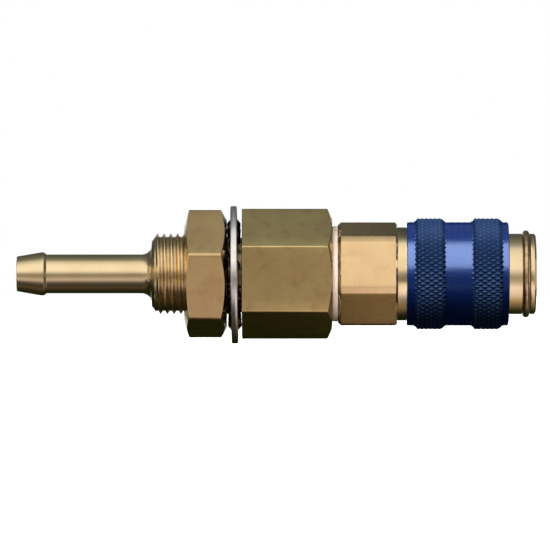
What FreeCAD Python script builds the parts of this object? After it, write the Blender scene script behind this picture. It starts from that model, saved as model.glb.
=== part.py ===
import FreeCAD, Part
import os
import re

import Sketcher

# Quick coupling with a bulkhead hose tail, in millimetres. The axis is X, the hose tail points to -X
# and the plug enters from +X. The origin is on the axis, in the hexagon's face that meets the panel.
# At rest no plug is in: the valve is shut, the balls are out and hold the sleeve back.

SIZES = (
    # Hose tail, panel thread and hexagon, one turned piece
    ("tail_length", 20.1, "thread shoulder to tail tip"),
    ("tail_dia", 5.8, "hose tail behind its barb"),
    ("barb_dia", 6.46, "largest diameter of the barb"),
    ("barb_tip_dia", 5.2, "barb at the tip"),
    ("barb_cone", 3.65, "length of the barb's cone"),
    ("barb_land", 0.4, "length of the barb's round land"),
    ("barb_back", 0.4, "length of the barb's back slope"),
    ("tail_fillet", 1.55, "fillet between tail and thread shoulder"),
    ("flow_bore", 3.8, "bore through the hose tail"),
    ("thread_dia", 12.0, "panel thread, M12 x 1"),
    ("thread_length", 13.4, "panel thread, shoulder to hexagon"),
    ("thread_start_dia", 9.7, "thread lead-in at the shoulder"),
    ("thread_lead", 0.8, "length of the thread lead-in"),
    ("hex_flats", 17.0, "bulkhead hexagon across flats"),
    ("hex_length", 13.44, "length of the bulkhead hexagon"),
    ("hex_face_dia", 16.4, "turned face of the bulkhead hexagon"),
    ("hex_bevel", 25.0, "corner bevel to the face, degrees"),
    ("hex_turn", 25.0, "corner above the near horizon, degrees"),
    ("port_dia", 9.8, "rear port for the adapter's thread"),
    ("port_depth", 8.0, "depth of the rear port at full diameter"),
    ("drill_angle", 59.0, "half point angle of the port's drill, degrees"),
    # Lock nut and lock washer
    ("nut_flats", 17.0, "lock nut across flats"),
    ("nut_length", 6.34, "thickness of the lock nut"),
    ("nut_front_face", 15.8, "turned face towards the washer"),
    ("nut_front_bevel", 25.0, "bevel towards the washer, degrees"),
    ("nut_back_face", 13.8, "turned face towards the hose tail"),
    ("nut_back_bevel", 15.0, "bevel towards the hose tail, degrees"),
    ("nut_turn", 17.0, "corner above the near horizon, degrees"),
    ("nut_sink", 0.45, "countersink of the nut's thread"),
    ("thread_room", 0.05, "radial room of the nut on its thread"),
    ("washer_dia", 20.5, "outer diameter of the lock washer"),
    ("washer_sheet", 1.0, "sheet thickness of the lock washer"),
    ("tooth_room", 0.3, "radial room of the teeth on the thread"),
    ("tooth_length", 1.8, "radial length of a tooth"),
    ("tooth_sheet", 0.85, "pressed thickness of a tooth"),
    ("tooth_root", 2.9, "tooth width at the ring"),
    ("tooth_tip", 2.4, "tooth width at the tip"),
    ("tooth_twist", 27.0, "twist of a tooth at its tip, degrees"),
    ("tooth_count", 10.0, "teeth round the ring"),
    ("tooth_bite", 0.25, "depth of a tooth's root inside the ring"),
    ("washer_play", 0.2, "free play on each side of the teeth"),
    ("washer_tilt", 0.6, "lean of the loose washer, degrees"),
    ("washer_drop", 0.13, "sag of the loose washer on the thread"),
    # Sealing ring and rear adapter
    ("seal_dia", 14.2, "outer diameter of the sealing ring"),
    ("seal_thick", 0.83, "thickness of the sealing ring"),
    ("seal_room", 0.15, "radial room of the ring on the adapter"),
    ("seal_edge", 0.08, "broken edge of the sealing ring"),
    ("port_room", 0.05, "radial room of the adapter in the port"),
    ("stub_length", 6.8, "adapter's threaded stub"),
    ("stub_lead", 0.8, "lead-in of the stub"),
    ("adapter_flats", 14.0, "adapter hexagon across flats"),
    ("adapter_corner", 15.5, "turned corners of the adapter hexagon"),
    ("adapter_length", 8.8, "length of the adapter hexagon"),
    ("adapter_edge", 0.45, "bevel at both ends of that hexagon"),
    ("adapter_turn", 40.0, "corner above the near horizon, degrees"),
    ("adapter_bore", 5.0, "bore through the adapter"),
    ("pocket_dia", 7.2, "spring pocket in the adapter"),
    ("pocket_depth", 5.6, "pocket behind the hexagon's front face"),
    ("spigot_length", 2.9, "adapter's spigot inside the housing"),
    ("spigot_room", 0.05, "radial room of the spigot"),
    ("spigot_end_room", 0.1, "room in front of the spigot"),
    # Housing
    ("collar_dia", 13.9, "housing collar behind the sleeve"),
    ("collar_length", 4.2, "length of that collar"),
    ("nose_dia", 12.0, "housing nose that guides the sleeve"),
    ("rim_length", 1.45, "snap ring's centre to the front face"),
    ("rim_edge", 0.25, "bevel of the front rim"),
    ("rear_bore", 10.5, "housing bore for the spigot"),
    ("chamber_dia", 9.4, "valve chamber"),
    ("plug_bore", 7.6, "bore that the plug's tip enters"),
    ("entry_dia", 8.4, "entry bore for the plug's collar"),
    ("entry_depth", 3.3, "depth of the entry bore"),
    ("mouth_bevel", 0.5, "bevel of the mouth"),
    ("web", 0.5, "wall between hole, groove and seat"),
    # Locking balls
    ("ball_dia", 3.0, "locking ball"),
    ("ball_count", 6.0, "locking balls round the housing"),
    ("ball_room", 0.05, "room round a ball"),
    ("ball_travel", 0.8, "radial travel of a ball"),
    ("lip_drop", 0.3, "locked ball's centre to the top of its lip"),
    # Sleeve
    ("sleeve_setback", 1.64, "housing's rear face to the sleeve at rest"),
    ("sleeve_length", 14.93, "length of the sleeve"),
    ("sleeve_stroke", 2.0, "travel to the snap ring"),
    ("stop_room", 0.085, "room left at the end of that travel"),
    ("sleeve_dia", 15.45, "lands and centre groove of the sleeve"),
    ("band_dia", 16.6, "knurled bands"),
    ("band_length", 3.58, "length of a knurled band"),
    ("band_bevel", 0.6, "length of the bevels beside a band"),
    ("end_land", 0.82, "plain land at each end"),
    ("slide_room", 0.05, "radial room on the nose"),
    ("skirt_room", 0.1, "radial room over the collar"),
    ("guide_length", 1.44, "front guide of the sleeve"),
    ("recess_room", 0.2, "room in front of the balls at rest"),
    ("lock_land", 1.75, "land that holds the balls in"),
    ("sleeve_edge", 0.15, "broken edges of the sleeve"),
    # Valve
    ("guide_room", 0.05, "radial room of the valve in the plug bore"),
    ("head_dia", 8.8, "valve head"),
    ("head_length", 1.6, "thickness of the valve head"),
    ("boss_dia", 5.1, "boss that centres the valve spring"),
    ("boss_length", 1.2, "length of that boss"),
    ("nose_angle", 25.0, "half angle of the valve's nose, degrees"),
    ("nose_tip_dia", 5.0, "front face of the valve's nose"),
    ("valve_bore", 3.4, "bore in the valve"),
    ("valve_wall", 1.0, "wall between the valve's bore and its head"),
    ("gill_dia", 1.8, "cross hole of the valve"),
    ("gill_count", 4.0, "cross holes round the valve"),
    ("gill_step", 0.3, "bore's floor to the edge of a cross hole"),
    # Seals, springs and snap ring
    ("ring_fit", 0.03, "room between a seal and its seat"),
    ("valve_groove_dia", 6.6, "bottom of the valve's seal groove"),
    ("valve_ring_wire", 1.0, "section of the valve's O-ring"),
    ("plug_ring_wire", 1.2, "section of the plug's O-ring"),
    ("housing_ring_wire", 0.8, "section of the housing's O-ring"),
    ("valve_wire", 0.6, "wire of the valve spring"),
    ("valve_coil_dia", 6.6, "outer diameter of the valve spring"),
    ("valve_coils", 8.0, "turns of the valve spring"),
    ("sleeve_wire", 0.75, "wire of the sleeve spring"),
    ("sleeve_coils", 4.5, "turns of the sleeve spring"),
    ("spring_room", 0.03, "room at each end of a spring"),
    ("snap_wire", 1.05, "wire of the snap ring"),
    ("snap_dia", 13.0, "outer diameter of the snap ring"),
    ("snap_room", 0.05, "room of the snap ring in its groove"),
    ("snap_open", 20.0, "opening of the snap ring, degrees"),
)
NAMES = {name for name, _, _ in SIZES}

# Places along the axis, worked out from the sizes; those of housing pieces count from its rear face
WASHER_SPACE = "(tooth_sheet * cos(tooth_twist) + tooth_tip * sin(tooth_twist) + 2 * washer_play)"
WASHER_BORE_R = "(thread_dia / 2 + tooth_room)"
ADAPTER_X = "(hex_length + seal_thick)"
HOUSING_X = f"({ADAPTER_X} + adapter_length)"
STUB_R = "(port_dia / 2 - port_room)"
SPIGOT_R = "(rear_bore / 2 - spigot_room)"
SNAP_X = "(sleeve_setback + sleeve_length + sleeve_stroke + stop_room + snap_wire / 2)"
HOUSING_LENGTH = f"({SNAP_X} + rim_length)"
BALL_X = "(sleeve_setback + sleeve_length - guide_length - ball_dia / 2 - recess_room)"
PLUG_GROOVE_END = f"({BALL_X} - ball_dia / 2 - ball_room - web)"
PLUG_GROOVE_START = f"({PLUG_GROOVE_END} - plug_ring_wire - 2 * ring_fit)"
SEAT_END = f"({PLUG_GROOVE_START} - web)"
SEAT_START = f"({SEAT_END} - (chamber_dia - plug_bore) / 2)"

# Ball lock: a ball's centre at rest and locked, and the ramp that moves it as the sleeve slides
BALL_OUT = "(plug_bore / 2 + ball_room + ball_dia / 2)"
BALL_IN = f"({BALL_OUT} - ball_travel)"
RAMP = "(ball_travel / sleeve_stroke)"
RAMP_OVER_BALL = f"({BALL_OUT} + (ball_dia / 2 + ball_room) * sqrt(1 + {RAMP} ^ 2))"
RECESS_R = f"({BALL_OUT} + ball_dia / 2 + ball_room)"
LOCK_R = "(nose_dia / 2 + slide_room)"
SLEEVE_BALL_X = f"({BALL_X} - sleeve_setback)"
RAMP_START = f"({SLEEVE_BALL_X} - ({RAMP_OVER_BALL} - {LOCK_R}) / {RAMP})"
RAMP_END = f"({SLEEVE_BALL_X} - ({RAMP_OVER_BALL} - {RECESS_R}) / {RAMP})"
SHOULDER_X = f"({RAMP_START} - lock_land)"
SKIRT_R = "(collar_dia / 2 + skirt_room)"

# Valve: its O-ring touches the 45 degree seat, and its nose starts to narrow under the balls
GUIDE_R = "(plug_bore / 2 - guide_room)"
VALVE_RING_R = "(valve_groove_dia / 2 + ring_fit + valve_ring_wire / 2)"
VALVE_GROOVE = "(valve_ring_wire + 2 * ring_fit)"
VALVE_RING_X = f"({SEAT_END} + plug_bore / 2 - {VALVE_RING_R} - (valve_ring_wire / 2 + ring_fit) * sqrt(2))"
VALVE_X = f"({VALVE_RING_X} - {VALVE_GROOVE} / 2)"
NOSE_AT_BALL = f"({BALL_OUT} - (ball_dia / 2 + ball_room) / cos(nose_angle))"
NOSE_START = f"({BALL_X} - {VALVE_X} - ({GUIDE_R} - {NOSE_AT_BALL}) / tan(nose_angle))"
NOSE_TIP = f"({NOSE_START} + ({GUIDE_R} - nose_tip_dia / 2) / tan(nose_angle))"

CUTS = ("PartDesign::Groove", "PartDesign::Pocket")
CUT_ROOM = "2"

doc = FreeCAD.newDocument("QuickCoupling")
sheet = doc.addObject("Spreadsheet::Sheet", "Sizes")


def fill_sheet():
    for row, (name, size, note) in enumerate(SIZES, start=1):
        sheet.set(f"A{row}", name)
        sheet.set(f"B{row}", str(size))
        sheet.set(f"C{row}", note)
        sheet.setAlias(f"B{row}", name)
    doc.recompute()


def cell(text):
    """The expression with each size's name turned into a reference to its cell."""
    return re.sub(r"[a-z_]+", lambda word: f"Sizes.{word[0]}" if word[0] in NAMES else word[0], text)


def number(text):
    return float(sheet.evalExpression(cell(text)))


def new_body(label):
    body = doc.addObject("PartDesign::Body", label)
    body.Label = label
    return body


def place_along_axis(piece, x):
    piece.setExpression("Placement.Base.x", cell(x))


def origin_feature(body, role):
    return next(feature for feature in body.Origin.OriginFeatures if feature.Role == role)


def new_sketch(body, name, plane):
    sketch = body.newObject("Sketcher::SketchObject", name)
    sketch.AttachmentSupport = [(origin_feature(body, plane), "")]
    sketch.MapMode = "FlatFace"
    return sketch


def fix_point(sketch, geometry, point, place):
    """Binds a point's two distances from the sketch's origin to expressions."""
    for kind, text in zip(("DistanceX", "DistanceY"), place):
        index = sketch.addConstraint(Sketcher.Constraint(kind, -1, 1, geometry, point, number(text)))
        sketch.setExpression(f"Constraints[{index}]", cell(text))


def outline(body, name, plane, corners):
    """A closed polygon whose corners are pairs of expressions."""
    sketch = new_sketch(body, name, plane)
    points = [FreeCAD.Vector(number(x), number(y), 0) for x, y in corners]
    for start, end in zip(points, points[1:] + points[:1]):
        sketch.addGeometry(Part.LineSegment(start, end))
    for index, corner in enumerate(corners):
        sketch.addConstraint(Sketcher.Constraint("Coincident", index, 1, (index - 1) % len(corners), 2))
        fix_point(sketch, index, 1, corner)
    return sketch


def circle(sketch, centre, radius):
    middle = FreeCAD.Vector(number(centre[0]), number(centre[1]), 0)
    index = sketch.addGeometry(Part.Circle(middle, FreeCAD.Vector(0, 0, 1), number(radius)))
    fix_point(sketch, index, 3, centre)
    constraint = sketch.addConstraint(Sketcher.Constraint("Radius", index, number(radius)))
    sketch.setExpression(f"Constraints[{constraint}]", cell(radius))


def turn(body, name, corners):
    """Turns a profile of (place along the axis, radius) pairs about the axis."""
    sketch = outline(body, f"{name}_profile", "XZ_Plane", corners)
    feature = body.newObject("PartDesign::Revolution", name)
    feature.Profile = sketch
    feature.ReferenceAxis = (sketch, ["H_Axis"])
    feature.Angle = 360
    return feature


def turn_away(body, name, corners):
    """Turns a profile away from the piece, as a lathe does."""
    sketch = outline(body, f"{name}_profile", "XZ_Plane", corners)
    feature = body.newObject("PartDesign::Groove", name)
    feature.Profile = sketch
    feature.ReferenceAxis = (sketch, ["H_Axis"])
    feature.Angle = 360
    return feature


def drill_round(body, name, x, corners, count):
    """Drills a round hole, given as (radius, height) pairs, and repeats it about the axis."""
    sketch = outline(body, f"{name}_profile", "XZ_Plane", corners)
    sketch.setExpression("AttachmentOffset.Base.x", cell(x))
    feature = body.newObject("PartDesign::Groove", name)
    feature.Profile = sketch
    feature.ReferenceAxis = (sketch, ["V_Axis"])
    feature.Angle = 360
    return repeat_round(body, feature, count)


def repeat_round(body, feature, count):
    pattern = body.newObject("PartDesign::PolarPattern", f"{feature.Name}_pattern")
    pattern.Originals = [feature]
    pattern.Axis = (origin_feature(body, "X_Axis"), [""])
    pattern.Angle = 360
    pattern.setExpression("Occurrences", cell(count))
    body.Tip = pattern
    return pattern


def hexagon(body, name, flats, angle, length):
    """Pads a hexagon from x = 0; angle is the height of one corner above the near horizon."""
    radius = f"{flats} / sqrt(3)"
    corners = []
    for side in range(6):
        heading = f"({angle} + {60 * side})"
        corners.append((f"-{radius} * cos({heading})", f"{radius} * sin({heading})"))
    pad = body.newObject("PartDesign::Pad", name)
    pad.Profile = outline(body, f"{name}_outline", "YZ_Plane", corners)
    pad.setExpression("Length", cell(length))
    return pad


def bevel_corners(body, name, flats, face_x, face_dia, angle, side):
    """Turns a hexagon's corners down to a round face; side is 1 for its +X end and -1 for its -X end."""
    outer = f"({flats} / sqrt(3) + {CUT_ROOM})"
    foot = f"{face_x} - {side} * ({outer} - {face_dia} / 2) * tan({angle})"
    return turn_away(body, name, [(face_x, f"{face_dia} / 2"), (face_x, outer), (foot, outer)])


def round_edge(body, name, feature, x, radius, size):
    """Fillets the circular edge that lies at x with that radius."""
    doc.recompute()
    for index, edge in enumerate(feature.Shape.Edges, start=1):
        ring = edge.Curve
        if isinstance(ring, Part.Circle):
            miss = abs(ring.Center.x - number(x)) + abs(ring.Radius - number(radius))
            if miss < 1e-6:
                break
    else:
        raise RuntimeError(f"{name}: no such edge")
    fillet = body.newObject("PartDesign::Fillet", name)
    fillet.Base = (feature, [f"Edge{index}"])
    fillet.setExpression("Radius", cell(size))
    return fillet


def wire_ring(label, x, mean_radius, wire):
    """A ring of round section about the axis."""
    ring = doc.addObject("Part::Torus", label)
    ring.Label = label
    ring.Placement.Rotation = FreeCAD.Rotation(FreeCAD.Vector(0, 1, 0), 90)
    ring.setExpression("Radius1", cell(mean_radius))
    ring.setExpression("Radius2", cell(f"{wire} / 2"))
    place_along_axis(ring, x)
    return ring


def coil_spring(label, x, length, mean_radius, wire, turns):
    """A compression spring whose wire lies between x and x + length."""
    body = new_body(label)
    sketch = new_sketch(body, f"{label}_section", "XZ_Plane")
    circle(sketch, (f"{wire} / 2 + spring_room", mean_radius), f"{wire} / 2")
    helix = body.newObject("PartDesign::AdditiveHelix", f"{label}_helix")
    helix.Profile = sketch
    helix.ReferenceAxis = (sketch, ["H_Axis"])
    helix.Mode = "height-turns-angle"
    helix.setExpression("Height", cell(f"{length} - {wire} - 2 * spring_room"))
    helix.setExpression("Turns", cell(turns))
    place_along_axis(body, x)
    return body


def make_bulkhead_body():
    body = new_body("bulkhead_body")
    tip = "-(thread_length + tail_length)"
    shoulder = "-thread_length"
    turn(body, "tail_and_thread", [
        (tip, "0"),
        (tip, "barb_tip_dia / 2"),
        (f"{tip} + barb_cone", "barb_dia / 2"),
        (f"{tip} + barb_cone + barb_land", "barb_dia / 2"),
        (f"{tip} + barb_cone + barb_land + barb_back", "tail_dia / 2"),
        (shoulder, "tail_dia / 2"),
        (shoulder, "thread_start_dia / 2"),
        (f"{shoulder} + thread_lead", "thread_dia / 2"),
        ("0", "thread_dia / 2"),
        ("0", "0"),
    ])
    pad = hexagon(body, "bulkhead_hexagon", "hex_flats", "hex_turn", "hex_length")
    round_edge(body, "tail_shoulder_fillet", pad, shoulder, "tail_dia / 2", "tail_fillet")
    bevel_corners(body, "bulkhead_bevel", "hex_flats", "hex_length", "hex_face_dia", "hex_bevel", 1)
    port_floor = "hex_length - port_depth"
    point = "(port_dia - flow_bore) / 2 / tan(drill_angle)"
    turn_away(body, "bulkhead_bores", [
        (f"{tip} - {CUT_ROOM}", "0"),
        (f"{tip} - {CUT_ROOM}", "flow_bore / 2"),
        (f"{port_floor} - {point}", "flow_bore / 2"),
        (port_floor, "port_dia / 2"),
        (f"hex_length + {CUT_ROOM}", "port_dia / 2"),
        (f"hex_length + {CUT_ROOM}", "0"),
    ])
    return body


def make_lock_nut():
    body = new_body("lock_nut")
    hexagon(body, "nut_hexagon", "nut_flats", "nut_turn", "nut_length")
    bevel_corners(body, "nut_front", "nut_flats", "nut_length", "nut_front_face", "nut_front_bevel", 1)
    bevel_corners(body, "nut_back", "nut_flats", "0", "nut_back_face", "nut_back_bevel", -1)
    bore = "(thread_dia / 2 + thread_room)"
    turn_away(body, "nut_bore", [
        ("0", "0"),
        ("0", f"{bore} + nut_sink"),
        ("nut_sink", bore),
        ("nut_length - nut_sink", bore),
        ("nut_length", f"{bore} + nut_sink"),
        ("nut_length", "0"),
    ])
    place_along_axis(body, f"-{WASHER_SPACE} - nut_length")
    return body


def tooth_section(body, name, width, height, twist):
    """A tooth's section in a plane at that height above the axis."""
    edge = "tooth_sheet / 2"
    half = f"{width} / 2"
    sketch = outline(body, name, "XY_Plane", [
        (f"-{edge}", f"-{half}"), (edge, f"-{half}"), (edge, half), (f"-{edge}", half),
    ])
    sketch.AttachmentOffset.Rotation = FreeCAD.Rotation(FreeCAD.Vector(0, 0, 1), number(twist))
    sketch.setExpression("AttachmentOffset.Base.z", cell(height))
    sketch.setExpression("AttachmentOffset.Rotation.Angle", cell(twist))
    return sketch


def make_lock_washer():
    body = new_body("lock_washer")
    inner = f"({WASHER_BORE_R} + tooth_length)"
    turn(body, "washer_ring", [
        ("-washer_sheet / 2", inner),
        ("-washer_sheet / 2", "washer_dia / 2"),
        ("washer_sheet / 2", "washer_dia / 2"),
        ("washer_sheet / 2", inner),
    ])
    tooth = body.newObject("PartDesign::AdditiveLoft", "washer_tooth")
    tooth.Profile = tooth_section(body, "tooth_root_section", "tooth_root", f"{inner} + tooth_bite", "0")
    tooth.Sections = [tooth_section(body, "tooth_tip_section", "tooth_tip", WASHER_BORE_R, "tooth_twist")]
    tooth.Ruled = True
    repeat_round(body, tooth, "tooth_count")
    body.Placement.Rotation = FreeCAD.Rotation(FreeCAD.Vector(0, -1, 0), number("washer_tilt"))
    body.setExpression("Placement.Rotation.Angle", cell("washer_tilt"))
    place_along_axis(body, f"-{WASHER_SPACE} / 2")
    body.setExpression("Placement.Base.z", cell("-washer_drop"))
    return body


def make_sealing_ring():
    body = new_body("sealing_ring")
    outer = "seal_dia / 2"
    inner = f"{STUB_R} + seal_room"
    turn(body, "sealing_ring_section", [
        ("0", inner),
        ("0", f"{outer} - seal_edge"),
        ("seal_edge", outer),
        ("seal_thick - seal_edge", outer),
        ("seal_thick", f"{outer} - seal_edge"),
        ("seal_thick", inner),
    ])
    place_along_axis(body, "hex_length")
    return body


def make_rear_adapter():
    body = new_body("rear_adapter")
    hexagon(body, "adapter_hexagon", "adapter_flats", "adapter_turn", "adapter_length")
    corner = "adapter_corner / 2"
    outer = f"adapter_flats / sqrt(3) + {CUT_ROOM}"
    turn_away(body, "adapter_corners", [
        ("0", f"{corner} - adapter_edge"),
        ("adapter_edge", corner),
        ("adapter_length - adapter_edge", corner),
        ("adapter_length", f"{corner} - adapter_edge"),
        ("adapter_length", outer),
        ("0", outer),
    ])
    turn(body, "adapter_stub", [
        ("-stub_length", "0"),
        ("-stub_length", f"{STUB_R} - stub_lead"),
        ("stub_lead - stub_length", STUB_R),
        ("0", STUB_R),
        ("0", "0"),
    ])
    spigot_end = "(adapter_length + spigot_length)"
    turn(body, "adapter_spigot", [
        ("adapter_length", "0"),
        ("adapter_length", SPIGOT_R),
        (spigot_end, SPIGOT_R),
        (spigot_end, "0"),
    ])
    pocket_floor = "adapter_length - pocket_depth"
    turn_away(body, "adapter_bores", [
        (f"-stub_length - {CUT_ROOM}", "0"),
        (f"-stub_length - {CUT_ROOM}", "adapter_bore / 2"),
        (pocket_floor, "adapter_bore / 2"),
        (pocket_floor, "pocket_dia / 2"),
        (f"{spigot_end} + {CUT_ROOM}", "pocket_dia / 2"),
        (f"{spigot_end} + {CUT_ROOM}", "0"),
    ])
    place_along_axis(body, ADAPTER_X)
    return body


def make_housing():
    body = new_body("housing")
    groove_start = f"{SNAP_X} - snap_wire / 2 - snap_room"
    groove_end = f"{SNAP_X} + snap_wire / 2 + snap_room"
    groove_floor = "snap_dia / 2 - snap_wire - snap_room"
    turn(body, "housing_outside", [
        ("0", "0"),
        ("0", "collar_dia / 2"),
        ("collar_length", "collar_dia / 2"),
        ("collar_length", "nose_dia / 2"),
        (groove_start, "nose_dia / 2"),
        (groove_start, groove_floor),
        (groove_end, groove_floor),
        (groove_end, "nose_dia / 2"),
        (f"{HOUSING_LENGTH} - rim_edge", "nose_dia / 2"),
        (HOUSING_LENGTH, "nose_dia / 2 - rim_edge"),
        (HOUSING_LENGTH, "0"),
    ])
    ring_seat = f"{SPIGOT_R} + housing_ring_wire + 2 * ring_fit"
    ring_depth = "housing_ring_wire + 2 * ring_fit"
    bore_floor = "spigot_length + spigot_end_room"
    plug_groove = f"{GUIDE_R} + plug_ring_wire + 2 * ring_fit"
    entry = f"{HOUSING_LENGTH} - entry_depth"
    turn_away(body, "housing_bores", [
        ("0", "0"),
        ("0", ring_seat),
        (ring_depth, ring_seat),
        (ring_depth, "rear_bore / 2"),
        (bore_floor, "rear_bore / 2"),
        (bore_floor, "chamber_dia / 2"),
        (SEAT_START, "chamber_dia / 2"),
        (SEAT_END, "plug_bore / 2"),
        (PLUG_GROOVE_START, "plug_bore / 2"),
        (PLUG_GROOVE_START, plug_groove),
        (PLUG_GROOVE_END, plug_groove),
        (PLUG_GROOVE_END, "plug_bore / 2"),
        (entry, "plug_bore / 2"),
        (entry, "entry_dia / 2"),
        (f"{HOUSING_LENGTH} - mouth_bevel", "entry_dia / 2"),
        (HOUSING_LENGTH, "entry_dia / 2 + mouth_bevel"),
        (HOUSING_LENGTH, "0"),
    ])
    # Each ball hole narrows to a lip, so that its ball reaches into the bore without falling through
    hole = "(ball_dia / 2 + ball_room)"
    lip = f"(sqrt((ball_dia / 2) ^ 2 - ({BALL_IN} - plug_bore / 2) ^ 2) + ball_room)"
    lip_top = f"{BALL_IN} - lip_drop"
    drill_round(body, "ball_hole", BALL_X, [
        ("0", "0"),
        (lip, "0"),
        (lip, "plug_bore / 2"),
        (hole, lip_top),
        (hole, f"nose_dia / 2 + {CUT_ROOM}"),
        ("0", f"nose_dia / 2 + {CUT_ROOM}"),
    ], "ball_count")
    place_along_axis(body, HOUSING_X)
    return body


def make_sleeve():
    body = new_body("sleeve")
    land = "sleeve_dia / 2"
    band = "band_dia / 2"
    front = "sleeve_length"
    recess_end = "sleeve_length - guide_length"
    band_start = "(end_land + band_bevel)"
    groove_start = f"({band_start} + band_length + band_bevel)"
    turn(body, "sleeve_section", [
        ("0", f"{SKIRT_R} + sleeve_edge"),
        ("0", f"{land} - sleeve_edge"),
        ("sleeve_edge", land),
        ("end_land", land),
        (band_start, band),
        (f"{band_start} + band_length", band),
        (groove_start, land),
        (f"{front} - {groove_start}", land),
        (f"{front} - {band_start} - band_length", band),
        (f"{front} - {band_start}", band),
        (f"{front} - end_land", land),
        (f"{front} - sleeve_edge", land),
        (front, f"{land} - sleeve_edge"),
        (front, f"{LOCK_R} + sleeve_edge"),
        (f"{front} - sleeve_edge", LOCK_R),
        (recess_end, LOCK_R),
        (recess_end, RECESS_R),
        (RAMP_END, RECESS_R),
        (RAMP_START, LOCK_R),
        (SHOULDER_X, LOCK_R),
        (SHOULDER_X, SKIRT_R),
        ("sleeve_edge", SKIRT_R),
    ])
    place_along_axis(body, f"{HOUSING_X} + sleeve_setback")
    return body


def make_valve():
    body = new_body("valve")
    back = "-head_length"
    turn(body, "valve_outside", [
        (f"{back} - boss_length", "0"),
        (f"{back} - boss_length", "boss_dia / 2"),
        (back, "boss_dia / 2"),
        (back, "head_dia / 2"),
        ("0", "head_dia / 2"),
        ("0", "valve_groove_dia / 2"),
        (VALVE_GROOVE, "valve_groove_dia / 2"),
        (VALVE_GROOVE, GUIDE_R),
        (NOSE_START, GUIDE_R),
        (NOSE_TIP, "nose_tip_dia / 2"),
        (NOSE_TIP, "0"),
    ])
    bore_floor = f"({VALVE_GROOVE} + valve_wall)"
    turn_away(body, "valve_flow_bore", [
        (bore_floor, "0"),
        (bore_floor, "valve_bore / 2"),
        (f"{NOSE_TIP} + {CUT_ROOM}", "valve_bore / 2"),
        (f"{NOSE_TIP} + {CUT_ROOM}", "0"),
    ])
    drill_round(body, "valve_gill", f"{bore_floor} + gill_step + gill_dia / 2", [
        ("0", "0"),
        ("gill_dia / 2", "0"),
        ("gill_dia / 2", f"{GUIDE_R} + {CUT_ROOM}"),
        ("0", f"{GUIDE_R} + {CUT_ROOM}"),
    ], "gill_count")
    place_along_axis(body, f"{HOUSING_X} + {VALVE_X}")
    return body


def make_seals():
    housing_ring_r = f"{SPIGOT_R} + ring_fit + housing_ring_wire / 2"
    housing_ring_x = f"{HOUSING_X} + housing_ring_wire / 2 + ring_fit"
    plug_ring_r = f"{GUIDE_R} + ring_fit + plug_ring_wire / 2"
    plug_ring_x = f"{HOUSING_X} + ({PLUG_GROOVE_START} + {PLUG_GROOVE_END}) / 2"
    valve_ring_x = f"{HOUSING_X} + {VALVE_RING_X}"
    return [
        wire_ring("housing_oring", housing_ring_x, housing_ring_r, "housing_ring_wire"),
        wire_ring("plug_oring", plug_ring_x, plug_ring_r, "plug_ring_wire"),
        wire_ring("valve_oring", valve_ring_x, VALVE_RING_R, "valve_ring_wire"),
    ]


def make_springs():
    pocket_floor = f"{ADAPTER_X} + adapter_length - pocket_depth"
    valve_space = f"(pocket_depth + {VALVE_X} - head_length)"
    valve_mean = "(valve_coil_dia - valve_wire) / 2"
    collar_face = f"{HOUSING_X} + collar_length"
    sleeve_space = f"(sleeve_setback + {SHOULDER_X} - collar_length)"
    sleeve_mean = f"(nose_dia / 2 + {SKIRT_R}) / 2"
    return [
        coil_spring("valve_spring", pocket_floor, valve_space, valve_mean, "valve_wire", "valve_coils"),
        coil_spring("sleeve_spring", collar_face, sleeve_space, sleeve_mean, "sleeve_wire", "sleeve_coils"),
    ]


def make_snap_ring():
    ring = wire_ring("snap_ring", f"{HOUSING_X} + {SNAP_X}", "(snap_dia - snap_wire) / 2", "snap_wire")
    ring.setExpression("Angle3", cell("360 - snap_open"))
    # The opening faces +Y, the far side
    to_far_side = FreeCAD.Rotation(FreeCAD.Vector(0, 0, 1), 90 + number("snap_open") / 2)
    ring.Placement.Rotation = ring.Placement.Rotation.multiply(to_far_side)
    return ring


def make_lock_balls():
    balls = []
    count = int(number("ball_count"))
    for index in range(count):
        ball = doc.addObject("Part::Sphere", f"lock_ball_{index + 1}")
        ball.Label = f"lock_ball_{index + 1}"
        ball.setExpression("Radius", cell("ball_dia / 2"))
        heading = f"({index} * 360 / ball_count)"
        place_along_axis(ball, f"{HOUSING_X} + {BALL_X}")
        ball.setExpression("Placement.Base.y", cell(f"{BALL_OUT} * sin({heading})"))
        ball.setExpression("Placement.Base.z", cell(f"{BALL_OUT} * cos({heading})"))
        balls.append(ball)
    return balls


def check(pieces):
    for item in doc.Objects:
        if "Invalid" in item.State or "Error" in item.State:
            raise RuntimeError(f"{item.Label}: {item.State}")
        if item.TypeId in CUTS and item.Shape.Volume >= item.BaseFeature.Shape.Volume:
            raise RuntimeError(f"{item.Label} cuts nothing")
    for piece in pieces:
        if piece.Shape.isNull() or not piece.Shape.isValid() or len(piece.Shape.Solids) != 1:
            raise RuntimeError(f"{piece.Label} isn't one valid solid")


def write(pieces):
    os.makedirs("parts", exist_ok=True)
    for piece in pieces:
        piece.Shape.exportStep(f"parts/{piece.Label}.step")
        print(f"{piece.Label}: {piece.Shape.Volume:.1f} mm3")


fill_sheet()
pieces = [
    make_bulkhead_body(),
    make_lock_nut(),
    make_lock_washer(),
    make_sealing_ring(),
    make_rear_adapter(),
    make_housing(),
    make_sleeve(),
    make_valve(),
    make_snap_ring(),
    *make_seals(),
    *make_springs(),
    *make_lock_balls(),
]
doc.recompute()
check(pieces)
write(pieces)
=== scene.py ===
import math
from functools import partialmethod

import bmesh
import bpy
from mathutils import Matrix, Vector


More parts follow.
